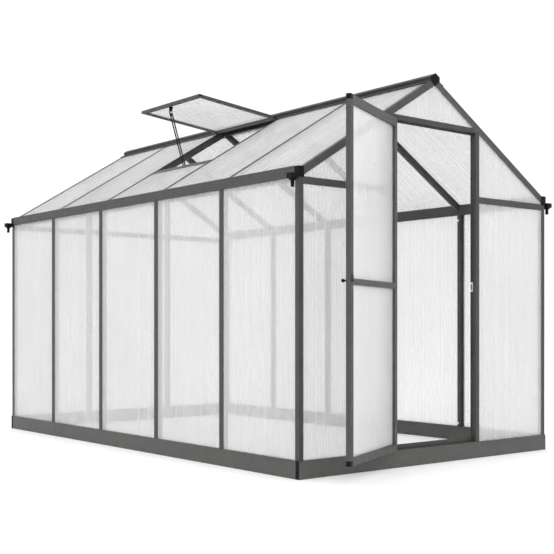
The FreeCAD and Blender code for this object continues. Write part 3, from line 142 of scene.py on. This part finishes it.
# ---------------------------------------------------------------- materials
def powder_coat(name, colour, worn_and_highlight, dust=0.0):
    """Fine-textured powder coating: faint mottling, orange peel, paler edges (partly wear, partly a painted
    highlight) and dust near the ground.
    """
    material, tree, shader, coords = new_material(name)
    cloud = spread(tree, noise(tree, coords, scale=7, detail=4), 0, 1)
    dark = tuple(0.88 * c for c in colour)
    light = tuple(1.12 * c for c in colour)
    colour_out = mixed(tree, cloud, dark, light)
    # paler sharp edges in patches: partly wear of the coat, partly a painted highlight along the edges
    wear_and_highlight_mask = combined(tree, "MULTIPLY", edge_wear_and_highlight(tree, 0.52, 0.62), noise(tree, coords, scale=60, detail=5))
    colour_out = mixed(tree, wear_and_highlight_mask, colour_out, worn_and_highlight)
    if dust:
        split = tree.nodes.new("ShaderNodeSeparateXYZ")
        tree.links.new(coords, split.inputs["Vector"])
        low = ranged(tree, split.outputs["Z"], 0.0, 0.11, dust, 0)
        speckle = combined(tree, "MULTIPLY", low, noise(tree, coords, scale=45, detail=6, roughness=0.7))
        colour_out = mixed(tree, speckle, colour_out, (0.33, 0.31, 0.28))
    tree.links.new(colour_out, shader.inputs["Base Color"])
    rough = spread(tree, noise(tree, coords, scale=26, detail=4), 0.42, 0.56)
    tree.links.new(rough, shader.inputs["Roughness"])
    shader.inputs["Specular IOR Level"].default_value = 0.35
    bump(tree, shader, noise(tree, coords, scale=900, detail=2), strength=0.12, distance=0.0004)
    return material


def ridge_coat(name, flange, crown, crown_half):
    """Powder coat whose middle strip, narrower than crown_half on each side, is painted near black: painted shade
    standing in for the shade on the ridge's upper cap.
    """
    material, tree, shader, coords = new_material(name)
    split = tree.nodes.new("ShaderNodeSeparateXYZ")
    tree.links.new(coords, split.inputs["Vector"])
    sideways = combined(tree, "ABSOLUTE", split.outputs["X"], 0)
    outside = combined(tree, "GREATER_THAN", sideways, crown_half)
    cloud = spread(tree, noise(tree, coords, scale=9, detail=4), 0, 0.25)
    # painted shade: the crown strip takes the near-black crown colour in place of the shade on the ridge's upper
    # cap
    colour_out = mixed(tree, cloud, mixed(tree, outside, crown, flange), (0.08, 0.08, 0.08))
    tree.links.new(colour_out, shader.inputs["Base Color"])
    rough = spread(tree, noise(tree, coords, scale=26, detail=4), 0.45, 0.6)
    tree.links.new(rough, shader.inputs["Roughness"])
    shader.inputs["Specular IOR Level"].default_value = 0.3
    bump(tree, shader, noise(tree, coords, scale=900, detail=2), strength=0.12, distance=0.0004)
    return material


def nylon(name, colour):
    """Moulded black nylon with a fine spark-eroded grain and a painted highlight on its sharp edges."""
    material, tree, shader, coords = new_material(name)
    cloud = spread(tree, noise(tree, coords, scale=18, detail=3), 0, 1)
    light = tuple(1.35 * c for c in colour)
    colour_out = mixed(tree, cloud, colour, light)
    # painted highlight: sharp edges lightened to 2.2 times the base colour
    colour_out = mixed(tree, edge_wear_and_highlight(tree, 0.52, 0.6), colour_out, tuple(2.2 * c for c in colour))
    tree.links.new(colour_out, shader.inputs["Base Color"])
    rough = spread(tree, noise(tree, coords, scale=90, detail=2), 0.45, 0.62)
    tree.links.new(rough, shader.inputs["Roughness"])
    shader.inputs["Specular IOR Level"].default_value = 0.12
    bump(tree, shader, noise(tree, coords, scale=1600, detail=3), strength=0.25, distance=0.0003)
    return material


def zinc(name):
    """Bright zinc plating with rolling marks and a cloudy bloom."""
    material, tree, shader, coords = new_material(name)
    shader.inputs["Metallic"].default_value = 1.0
    bloom = spread(tree, noise(tree, coords, scale=55, detail=5), 0, 1)
    tree.links.new(mixed(tree, bloom, (0.74, 0.75, 0.77), (0.90, 0.90, 0.89)), shader.inputs["Base Color"])
    marks = noise(tree, stretched(tree, coords, (40, 40, 600)), scale=3, detail=3)
    tree.links.new(spread(tree, marks, 0.26, 0.46), shader.inputs["Roughness"])
    bump(tree, shader, marks, strength=0.15, distance=0.0002)
    return material


def rubber(name):
    """Matt black sealing rubber."""
    material, tree, shader, coords = new_material(name)
    bloom = ranged(tree, noise(tree, coords, scale=30, detail=4), 0.35, 0.75, 0, 1)
    colour_out = mixed(tree, bloom, (0.012, 0.012, 0.012), (0.035, 0.035, 0.034))
    tree.links.new(colour_out, shader.inputs["Base Color"])
    rough = spread(tree, noise(tree, coords, scale=200, detail=2), 0.62, 0.8)
    tree.links.new(rough, shader.inputs["Roughness"])
    bump(tree, shader, noise(tree, coords, scale=1200, detail=2), strength=0.2, distance=0.0002)
    return material


def polycarbonate(name, clear, milky, alpha, along, contrast):
    """Milky twin-wall sheet that passes light on.

    alpha is how much it hides, contrast how far its streaks vary that, and along the noise stretch
    that follows the flutes.
    """
    material, tree, shader, coords = new_material(name)
    streaks = noise(tree, stretched(tree, coords, along), scale=1.0, detail=1, roughness=0.5)
    haze = noise(tree, coords, scale=1.6, detail=3)
    half_streaks = combined(tree, "MULTIPLY", streaks, 0.5)
    half_haze = combined(tree, "MULTIPLY", haze, 0.5)
    tone = combined(tree, "ADD", half_streaks, half_haze)
    colour_out = mixed(tree, ranged(tree, tone, 0.35, 0.65, 0, 1), milky, clear)
    tree.links.new(colour_out, shader.inputs["Base Color"])
    tree.links.new(spread(tree, haze, 0.18, 0.32), shader.inputs["Roughness"])
    shader.inputs["IOR"].default_value = 1.58
    shader.inputs["Specular IOR Level"].default_value = 0.35
    glow = tree.nodes.new("ShaderNodeBsdfTranslucent")
    tree.links.new(colour_out, glow.inputs["Color"])
    body = tree.nodes.new("ShaderNodeMixShader")
    body.inputs["Fac"].default_value = 0.5
    tree.links.new(shader.outputs["BSDF"], body.inputs[1])
    tree.links.new(glow.outputs["BSDF"], body.inputs[2])
    through = tree.nodes.new("ShaderNodeMixShader")
    cover = spread(tree, streaks, (1 - contrast) * alpha, (1 + contrast) * alpha)
    tree.links.new(cover, through.inputs["Fac"])
    tree.links.new(tree.nodes.new("ShaderNodeBsdfTransparent").outputs["BSDF"], through.inputs[1])
    tree.links.new(body.outputs["Shader"], through.inputs[2])
    tree.links.new(through.outputs["Shader"], tree.nodes["Material Output"].inputs["Surface"])
    return material


WALL_ALONG = (38, 38, 0.004)
ROOF_ALONG = (0.004, 38, 0.004)
MATERIALS = {
    "frame_aluminium": powder_coat("charcoal powder coat", (0.040, 0.041, 0.038), (0.12, 0.12, 0.115)),
    "base_steel": powder_coat("charcoal base coat", (0.052, 0.053, 0.050), (0.14, 0.14, 0.135), dust=0.12),
    "hinge_metal": powder_coat("black hinge coat", (0.007, 0.007, 0.007), (0.08, 0.08, 0.08)),
    "black_plastic": nylon("black nylon", (0.003, 0.003, 0.003)),
    "zinc": zinc("zinc plate"),
    "wall_pane": polycarbonate("milky wall sheet", (0.95, 0.955, 0.95), (0.90, 0.905, 0.90),
                               alpha=0.25, along=WALL_ALONG, contrast=0.12),
    "roof_pane": polycarbonate("milky roof sheet", (0.95, 0.955, 0.95), (0.84, 0.845, 0.85),
                               alpha=0.27, along=ROOF_ALONG, contrast=0.35),
}
RUBBER = rubber("sealing rubber")
# the near-black crown colour (0.006) is painted shade on the ridge's upper cap; the flange keeps the coat's grey
RIDGE = ridge_coat("ridge coat with painted shade", (0.029, 0.030, 0.028), (0.006, 0.006, 0.006), 31.5 * MM)
# copies of the sheets for the faces over and between the ribs: the higher alpha is the extra plastic of each rib,
# the darker tint is painted shade along each rib
FLUTES_WITH_PAINTED_SHADE = {
    "wall_pane": polycarbonate("wall sheet flutes with painted shade", (0.86, 0.865, 0.86), (0.80, 0.805, 0.80),
                               alpha=0.36, along=WALL_ALONG, contrast=0.1),
    "roof_pane": polycarbonate("roof sheet flutes with painted shade", (0.80, 0.805, 0.805), (0.62, 0.625, 0.63),
                               alpha=0.42, along=ROOF_ALONG, contrast=0.3),
}


# ---------------------------------------------------------------- mesh helpers
def add_piece(name, mesh_data, material, body, slot=None, angle=35):
    """Turn a bmesh into a piece that rides on a body."""
    bmesh.ops.recalc_face_normals(mesh_data, faces=mesh_data.faces)
    mesh = bpy.data.meshes.new(name)
    mesh_data.to_mesh(mesh)
    mesh_data.free()
    mesh.materials.append(material)
    mesh.shade_smooth()
    mesh.set_sharp_from_angle(angle=math.radians(angle))
    piece = bpy.data.objects.new(name, mesh)
    bpy.context.scene.collection.objects.link(piece)
    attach(piece, body)
    return piece


def axes_along(direction):
    """A turn whose local Z lies along a direction."""
    return direction.to_track_quat("Z", "Y").to_matrix().to_4x4()


def add_lathe(mesh_data, place, profile, sides, lobes=0, lobe_depth=0.0):
    """Closed turned solid from (radius, height) pairs; lobes deepen its rim like a star knob."""
    rings = []
    for radius, height in profile:
        ring = []
        for i in range(sides):
            angle = 2 * math.pi * i / sides
            wave = 1 - lobe_depth * (0.5 - 0.5 * math.cos(lobes * angle)) if lobes else 1
            point = Vector((radius * wave * math.cos(angle), radius * wave * math.sin(angle), height))
            ring.append(mesh_data.verts.new(place @ point))
        rings.append(ring)
    for lower, upper in zip(rings, rings[1:]):
        for i in range(sides):
            j = (i + 1) % sides
            mesh_data.faces.new((lower[i], lower[j], upper[j], upper[i]))
    mesh_data.faces.new(rings[0][::-1])
    mesh_data.faces.new(rings[-1])


def add_bar(mesh_data, outline, low, high, place=Matrix.Identity(4)):
    """Prism of a closed outline in local XY between two heights in local Z."""
    bottom = [mesh_data.verts.new(place @ Vector((x, y, low))) for x, y in outline]
    top = [mesh_data.verts.new(place @ Vector((x, y, high))) for x, y in outline]
    for i in range(len(outline)):
        j = (i + 1) % len(outline)
        mesh_data.faces.new((bottom[i], bottom[j], top[j], top[i]))
    mesh_data.faces.new(bottom[::-1])
    mesh_data.faces.new(top)


def add_hex_bolt(mesh_data, point, direction, size, height=4 * MM):
    """Flanged hex head with a chamfered crown, standing on a face."""
    place = Matrix.Translation(point) @ axes_along(direction)
    flange = 0.72 * size
    add_lathe(mesh_data, place, [(flange, 0), (flange, 0.7 * MM), (0.62 * size, 1.3 * MM)], 24)
    across = size / math.sqrt(3)
    crown = [(across, 1.3 * MM), (across, height - 0.8 * MM), (0.86 * across, height)]
    add_lathe(mesh_data, place, crown, 6)


def add_pan_screw(mesh_data, point, direction, radius):
    """Low domed screw head with a square-drive recess cut in its crown."""
    place = Matrix.Translation(point) @ axes_along(direction)
    rise = 0.62 * radius
    steps = 5
    dome = [(radius * math.cos(math.pi / 2 * k / steps * 0.8), rise * math.sin(math.pi / 2 * k / steps * 0.8))
            for k in range(steps + 1)]
    socket = 0.3 * radius
    recess = [(socket, dome[-1][1]), (0.85 * socket, 0.25 * rise)]
    add_lathe(mesh_data, place, [(radius, 0)] + dome[1:] + recess, 24)


# ---------------------------------------------------------------- twin-wall sheets
FLUTE_PITCH = 10 * MM
FLUTE_WALL = 0.6 * MM
SKIN = 0.45 * MM


def islands(mesh_data):
    """The separate solids of a mesh, as lists of vertices, in the same order on each run."""
    seen = set()
    for first in mesh_data.verts:
        if first in seen:
            continue
        seen.add(first)
        found = [first]
        for vert in found:
            for edge in vert.link_edges:
                other = edge.other_vert(vert)
                if other not in seen:
                    seen.add(other)
                    found.append(other)
        yield found


def outline_span(outline, across):
    """Lowest and highest point of a convex outline at one place across it."""
    crossings = []
    for (s0, t0), (s1, t1) in zip(outline, outline[1:] + outline[:1]):
        if min(s0, s1) - 1e-7 <= across <= max(s0, s1) + 1e-7:
            if abs(s1 - s0) < 1e-7:
                crossings += [t0, t1]
            else:
                crossings.append(t0 + (t1 - t0) * (across - s0) / (s1 - s0))
    return min(crossings), max(crossings)


def sheet_columns(outline):
    """Stations across a sheet, each with whether the column after it is solid rib or open flute."""
    low = min(s for s, t in outline)
    high = max(s for s, t in outline)
    flutes = max(1, round((high - low) / FLUTE_PITCH))
    pitch = (high - low - FLUTE_WALL) / flutes
    marks = {}
    for i in range(flutes + 1):
        marks[low + i * pitch] = True
        marks[low + i * pitch + FLUTE_WALL] = False
    places = sorted(marks)
    for s, t in outline:
        if min(abs(s - place) for place in places) > 0.1 * MM:
            before = max(place for place in places if place < s)
            marks[s] = marks[before]
            places = sorted(marks)
    return [(place, marks[place]) for place in places]


def add_sheet(mesh_data, verts):
    """One hollow sheet in the place of one flat solid, its flutes running up the slope or the wall."""
    faces = [face for vert in verts for face in vert.link_faces]
    normal = max(faces, key=lambda face: face.calc_area()).normal.copy()
    along = (UP - normal * UP.dot(normal)).normalized()
    across = normal.cross(along)
    depths = [vert.co.dot(normal) for vert in verts]
    flat = [Vector((vert.co.dot(across), vert.co.dot(along))) for vert in verts]
    hull = [tuple(flat[i]) for i in convex_hull_2d(flat)]
    levels = (min(depths), min(depths) + SKIN, max(depths) - SKIN, max(depths))
    columns = sheet_columns(hull)
    grid = {}
    for i, (place, solid) in enumerate(columns):
        for end, height in enumerate(outline_span(hull, place)):
            for k, depth in enumerate(levels):
                point = across * place + along * height + normal * depth
                grid[i, end, k] = mesh_data.verts.new(point)

    def quad(*corners, rib=False):
        """One face between four points of the grid."""
        mesh_data.faces.new([grid[corner] for corner in corners]).material_index = int(rib)

    last = len(columns) - 1
    for i in range(last):
        solid = columns[i][1]
        # skins over a rib take the second, darker flute material, which paints shade along the rib
        for k in (0, 3) if solid else (0, 1, 2, 3):
            quad((i, 0, k), (i + 1, 0, k), (i + 1, 1, k), (i, 1, k), rib=solid)
        for end in (0, 1):
            for k in (0, 1, 2) if solid else (0, 2):
                quad((i, end, k), (i + 1, end, k), (i + 1, end, k + 1), (i, end, k + 1))
        if i and solid != columns[i - 1][1]:
            quad((i, 0, 1), (i, 1, 1), (i, 1, 2), (i, 0, 2), rib=True)
    for i in (0, last):
        for k in (0, 1, 2):
            quad((i, 0, k), (i, 1, k), (i, 1, k + 1), (i, 0, k + 1))


def make_sheets(node):
    """Hollow fluted sheets that stand for one node of plain panes."""
    plain = bmesh.new()
    plain.from_mesh(frame["nodes"][node].data)
    bmesh.ops.remove_doubles(plain, verts=plain.verts, dist=0.01 * MM)
    plain.normal_update()
    hollow = bmesh.new()
    for verts in islands(plain):
        add_sheet(hollow, verts)
    plain.free()
    bmesh.ops.remove_doubles(hollow, verts=hollow.verts, dist=0.001 * MM)
    bmesh.ops.dissolve_degenerate(hollow, edges=hollow.edges, dist=0.001 * MM)
    slot = NODE_SLOT[node]
    piece = add_piece("twin_wall_" + node, hollow, MATERIALS[slot], NODE_BODY[node], slot)
    # second material: the darker flute copy, painted shade along the ribs
    piece.data.materials.append(FLUTES_WITH_PAINTED_SHADE[slot])
    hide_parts(node)


# ---------------------------------------------------------------- CAD nodes
def dress_cad_nodes():
    """Finish and softened edges for every CAD node that stays in view."""
    for name, node in frame["nodes"].items():
        if node.hide_render:
            continue
        node.data.materials.clear()
        node.data.materials.append(RIDGE if name == "ridge_beam" else MATERIALS[NODE_SLOT[name]])
        weld = node.modifiers.new("weld", "WELD")
        weld.merge_threshold = 0.005 * MM
        bevel = node.modifiers.new("soft edges", "BEVEL")
        bevel.width = 0.45 * MM
        bevel.segments = 2
        bevel.limit_method = "ANGLE"
        bevel.angle_limit = math.radians(40)
        bevel.use_clamp_overlap = True
        bevel.harden_normals = False


# ---------------------------------------------------------------- added fittings
BAY = 604 * MM
CONTOUR = 1.3 * MM
FASCIA_FOOT = 11 * MM
CONTOUR_SHARES = (0.2, 0.42, 0.64, 0.93)
GASKET = 1.1 * MM
GASKET_INSET = 2.1 * MM
GASKET_OFFSET = 16.8 * MM
HINGE_MIDDLE = 30 * MM
HINGE_SHEET = 2 * MM
SCREW_ASIDE = 19 * MM
SCREW_APART = 18 * MM
HINGE_SCREW = 3 * MM
KEEPER_SCREW = 3.2 * MM
KEEPER_SCREW_EDGE = 4.5 * MM
BOLT = 9 * MM
SEAL_SETBACK = 25 * MM
SEAL_FOOT = 28 * MM
SEAL_DROP = 10 * MM
BAR_PLACES = [BAY * (i - 1.5) for i in range(4)]
TONGUE_GAP = 32 * MM


def opened_leaf():
    """Matrix from the closed leaf to the open leaf of the model at rest."""
    hinge = JOINTS["door_hinge"]
    centre = Vector(hinge["pos_m"])
    turn = Matrix.Rotation(-math.radians(hinge["range_deg"][1]), 4, Vector(hinge["axis"]))
    return Matrix.Translation(centre) @ turn @ Matrix.Translation(-centre)


def half_round(radius, steps=6):
    """Outline of a bead that stands on a face, with its flat side down."""
    arc = [(radius * math.cos(math.pi * i / steps), radius * math.sin(math.pi * i / steps))
           for i in range(steps + 1)]
    return [(-radius, -0.3 * radius), (radius, -0.3 * radius)] + arc


def make_gutter_mouldings():
    """Raised beads along both gutter fascias."""
    beads = bmesh.new()
    for node, side in (("gutter_left", -1), ("gutter_right", 1)):
        low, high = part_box(node)
        face = high.x if side > 0 else low.x
        foot = low.z + FASCIA_FOOT
        for share in CONTOUR_SHARES:
            place = Matrix.Translation((face, 0, foot + share * (high.z - foot))) @ fascia_turn(side)
            add_bar(beads, half_round(CONTOUR), low.y, high.y, place)
    add_piece("gutter_mouldings", beads, MATERIALS["frame_aluminium"], "house", "frame_aluminium")


def fascia_turn(side):
    """Turn whose local Z runs along the house and whose local Y points out of a side wall."""
    outward = Vector((side, 0, 0))
    length = Vector((0, 1, 0))
    return Matrix((outward.cross(length), outward, length)).transposed().to_4x4()


def make_wall_gaskets():
    """Rubber beads between the wall bars and the sheets."""
    beads = bmesh.new()
    bead = half_round(GASKET)
    for node, side in (("wall_bars_left", -1), ("wall_bars_right", 1)):
        low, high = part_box(node)
        face = (high.x if side > 0 else low.x) - side * GASKET_INSET
        outward = Vector((side, 0, 0))
        turn = Matrix((outward.cross(UP), outward, UP)).transposed().to_4x4()
        for bar in BAR_PLACES:
            for edge in (-GASKET_OFFSET, GASKET_OFFSET):
                place = Matrix.Translation((face, bar + edge, 0)) @ turn
                add_bar(beads, bead, low.z + 1 * MM, high.z, place)
    add_piece("wall_gaskets", beads, RUBBER, "house", "black_plastic")


def make_hinge_screws():
    """Countersunk screws in the door hinges, two to each plate."""
    low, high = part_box("jamb_hinges")
    axis = JOINTS["door_hinge"]["pos_m"][0]
    leaf = opened_leaf()
    middle = (low.z + high.z) / 2
    first = low.z + HINGE_MIDDLE
    face = hinge_face()
    jamb, door = bmesh.new(), bmesh.new()
    front = Vector((0, -1, 0))
    for height in (first, middle, 2 * middle - first):
        for offset in (-SCREW_APART, SCREW_APART):
            place = Vector((axis - SCREW_ASIDE, face, height + offset))
            add_pan_screw(jamb, place, front, HINGE_SCREW)
            place = Vector((axis + SCREW_ASIDE, face, height + offset))
            add_pan_screw(door, leaf @ place, leaf.to_3x3() @ front, HINGE_SCREW)
    add_piece("jamb_hinge_screws", jamb, MATERIALS["zinc"], "house", "zinc")
    add_piece("leaf_hinge_screws", door, MATERIALS["zinc"], "door", "zinc")


def make_keeper_screws():
    """Bright domed screws that hold the latch keeper to the jamb."""
    low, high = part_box("latch_keeper")
    screws = bmesh.new()
    for height in (low.z + KEEPER_SCREW_EDGE, high.z - KEEPER_SCREW_EDGE):
        point = Vector((low.x, (low.y + high.y) / 2, height))
        add_pan_screw(screws, point, Vector((-1, 0, 0)), KEEPER_SCREW)
    add_piece("keeper_screws", screws, MATERIALS["zinc"], "house", "zinc")


def hinge_face():
    """Front face of the hinge plates, which lie flat on the jamb."""
    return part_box("door_jamb_left")[0].y - HINGE_SHEET


def make_frame_bolts():
    """Hex bolts where the inner bars meet the base and the eaves, and at the four corners."""
    bolts = bmesh.new()
    for node, side in (("wall_bars_left", -1), ("wall_bars_right", 1)):
        low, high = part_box(node)
        inner = low.x if side > 0 else high.x
        inward = Vector((-side, 0, 0))
        for bar in BAR_PLACES:
            for height in (low.z + 22 * MM, high.z - 40 * MM):
                add_hex_bolt(bolts, Vector((inner, bar, height)), inward, BOLT)
    for end in (-1, 1):
        for side in (-1, 1):
            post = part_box(f"corner_post_{'front' if end < 0 else 'back'}_{'left' if side < 0 else 'right'}")
            inner = post[0].x if side > 0 else post[1].x
            for height in (post[0].z + 24 * MM, post[1].z - 60 * MM):
                point = Vector((inner, (post[0].y + post[1].y) / 2, height))
                add_hex_bolt(bolts, point, Vector((-side, 0, 0)), BOLT)
    add_piece("frame_bolts", bolts, MATERIALS["zinc"], "house", "zinc")


def make_door_seals_with_painted_shade():
    """Rubber strips behind the closed leaf, with a gap where the latch tongue turns in; their black also stands in
    as painted shade for the deep shade under the head and along the jamb stops.
    """
    strips = bmesh.new()
    left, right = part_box("door_jamb_left"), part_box("door_jamb_right")
    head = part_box("door_head")
    back = left[0].y + SEAL_SETBACK
    foot, top = left[0].z + SEAL_FOOT, head[0].z
    latch = JOINTS["latch_turn"]["pos_m"][2]
    stretches = ((1, left[1].x, foot, top), (-1, right[0].x, foot, latch - TONGUE_GAP),
                 (-1, right[0].x, latch + TONGUE_GAP, top))
    for side, face, low, high in stretches:
        lip = face + side * 3 * MM
        outline = [(face, back), (lip, back + 1 * MM), (lip, back + 3 * MM), (face, back + 5 * MM)]
        add_bar(strips, outline, low, high)
    # the black strip under the head also serves as painted shade for the deep shade there
    drop = head[0].z + SEAL_DROP
    lip = drop - 4 * MM
    outline = [(back, drop), (back + 5 * MM, drop), (back + 3 * MM, lip), (back + 1 * MM, lip)]
    turn = Matrix(((0, 0, 1, 0), (1, 0, 0, 0), (0, 1, 0, 0), (0, 0, 0, 1)))
    add_bar(strips, outline, left[1].x, right[0].x, turn)
    add_piece("door_seals_and_painted_shade", strips, RUBBER, "house", "black_plastic")


def make_latch_knob():
    """Fluted knob on its stem and spindle, in place of the plain turned one."""
    latch = JOINTS["latch_turn"]
    leaf = opened_leaf()
    front = leaf.to_3x3() @ Vector((0, -1, 0))
    centre = Vector(latch["pos_m"])
    place = Matrix.Translation(centre) @ axes_along(front)
    knob = bmesh.new()
    add_lathe(knob, place, [(2.7 * MM, -30 * MM), (3 * MM, -29.6 * MM), (3 * MM, 0.6 * MM)], 24)
    stem = [(4.4 * MM, 0.6 * MM), (3.6 * MM, 4 * MM), (3.6 * MM, 9 * MM), (5.6 * MM, 12.4 * MM)]
    add_lathe(knob, place, stem, 32)
    rim = [(5.8 * MM, 12.4 * MM), (7.8 * MM, 13.4 * MM), (8.4 * MM, 15.2 * MM), (8.4 * MM, 20.6 * MM),
           (7.6 * MM, 23.2 * MM), (5.2 * MM, 24.3 * MM), (4.6 * MM, 23.6 * MM)]
    add_lathe(knob, place, rim, 72, lobes=12, lobe_depth=0.09)
    piece = add_piece("latch_grip", knob, MATERIALS["black_plastic"], "latch", "black_plastic")
    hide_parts("latch_knob")


def make_clamp_knob():
    """Six-lobed nylon wheel that clamps the vent stay."""
    low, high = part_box("stay_clamp_knob")
    centre = Vector(JOINTS["clamp_turn"]["pos_m"])
    place = Matrix.Translation((centre.x, low.y, centre.z)) @ axes_along(Vector((0, 1, 0)))
    radius = (high.z - low.z) / 2
    thick = high.y - low.y
    knob = bmesh.new()
    profile = [(0.5 * radius, 0), (0.56 * radius, 0.24 * thick), (0.94 * radius, 0.3 * thick),
               (radius, 0.42 * thick), (radius, 0.82 * thick), (0.9 * radius, 0.97 * thick),
               (0.5 * radius, thick), (0.42 * radius, 0.9 * thick)]
    add_lathe(knob, place, profile, 96, lobes=6, lobe_depth=0.2)
    piece = add_piece("stay_star_knob", knob, MATERIALS["black_plastic"], "clamp", "black_plastic")
    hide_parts("stay_clamp_knob")


# ---------------------------------------------------------------- stage, light and camera
def make_stage():
    """A wide pale floor."""
    floor = bmesh.new()
    bmesh.ops.create_grid(floor, x_segments=8, y_segments=8, size=60)
    mesh = bpy.data.meshes.new("floor")
    floor.to_mesh(mesh)
    floor.free()
    material, tree, shader, coords = new_material("pale floor")
    tone = spread(tree, noise(tree, coords, scale=0.8, detail=2), 0, 1)
    tree.links.new(mixed(tree, tone, (0.93, 0.93, 0.93), (0.95, 0.95, 0.95)), shader.inputs["Base Color"])
    shader.inputs["Roughness"].default_value = 0.9
    shader.inputs["Specular IOR Level"].default_value = 0.1
    shader.inputs["Emission Color"].default_value = (1, 1, 1, 1)
    shader.inputs["Emission Strength"].default_value = 0.12
    mesh.materials.append(material)
    piece = bpy.data.objects.new("floor", mesh)
    bpy.context.scene.collection.objects.link(piece)


def area_light(name, place, target, size, power):
    """Square lamp that faces a target."""
    data = bpy.data.lights.new(name, "AREA")
    data.size = size
    data.energy = power
    light = bpy.data.objects.new(name, data)
    light.location = place
    light.rotation_euler = (Vector(target) - Vector(place)).to_track_quat("-Z", "Y").to_euler()
    bpy.context.scene.collection.objects.link(light)


def make_light():
    """White studio sky with a soft key light and a soft top light."""
    world = bpy.data.worlds.new("studio")
    world.use_nodes = True
    background = world.node_tree.nodes["Background"]
    background.inputs["Color"].default_value = (1, 1, 1, 1)
    background.inputs["Strength"].default_value = 1.06
    scene = bpy.context.scene
    scene.world = world
    scene.view_settings.view_transform = "Standard"
    scene.cycles.transparent_max_bounces = 48
    scene.cycles.max_bounces = 6
    scene.cycles.diffuse_bounces = 3
    scene.cycles.glossy_bounces = 2
    middle = (0, 0, 1)
    area_light("key", (-5, -9, 6), middle, 5, 160)
    area_light("top", (0, 2, 9), middle, 7, 120)


def make_camera():
    """Camera low off the front left corner, held level and shifted up."""
    data = bpy.data.cameras.new("camera")
    data.lens = 67.06
    data.sensor_width = 36
    data.shift_y = 0.0857
    camera = bpy.data.objects.new("camera", data)
    camera.location = (-3.9262, -5.0714, 0.704)
    camera.rotation_euler = (math.radians(90), 0, math.radians(-39.05))
    bpy.context.scene.collection.objects.link(camera)
    bpy.context.scene.camera = camera


# ---------------------------------------------------------------- assembly
for pane_node in sorted(node for node, slot in NODE_SLOT.items() if slot in ("wall_pane", "roof_pane")):
    make_sheets(pane_node)
make_latch_knob()
make_clamp_knob()
dress_cad_nodes()
make_gutter_mouldings()
make_wall_gaskets()
make_hinge_screws()
make_keeper_screws()
make_frame_bolts()
make_door_seals_with_painted_shade()
make_stage()
make_light()
make_camera()
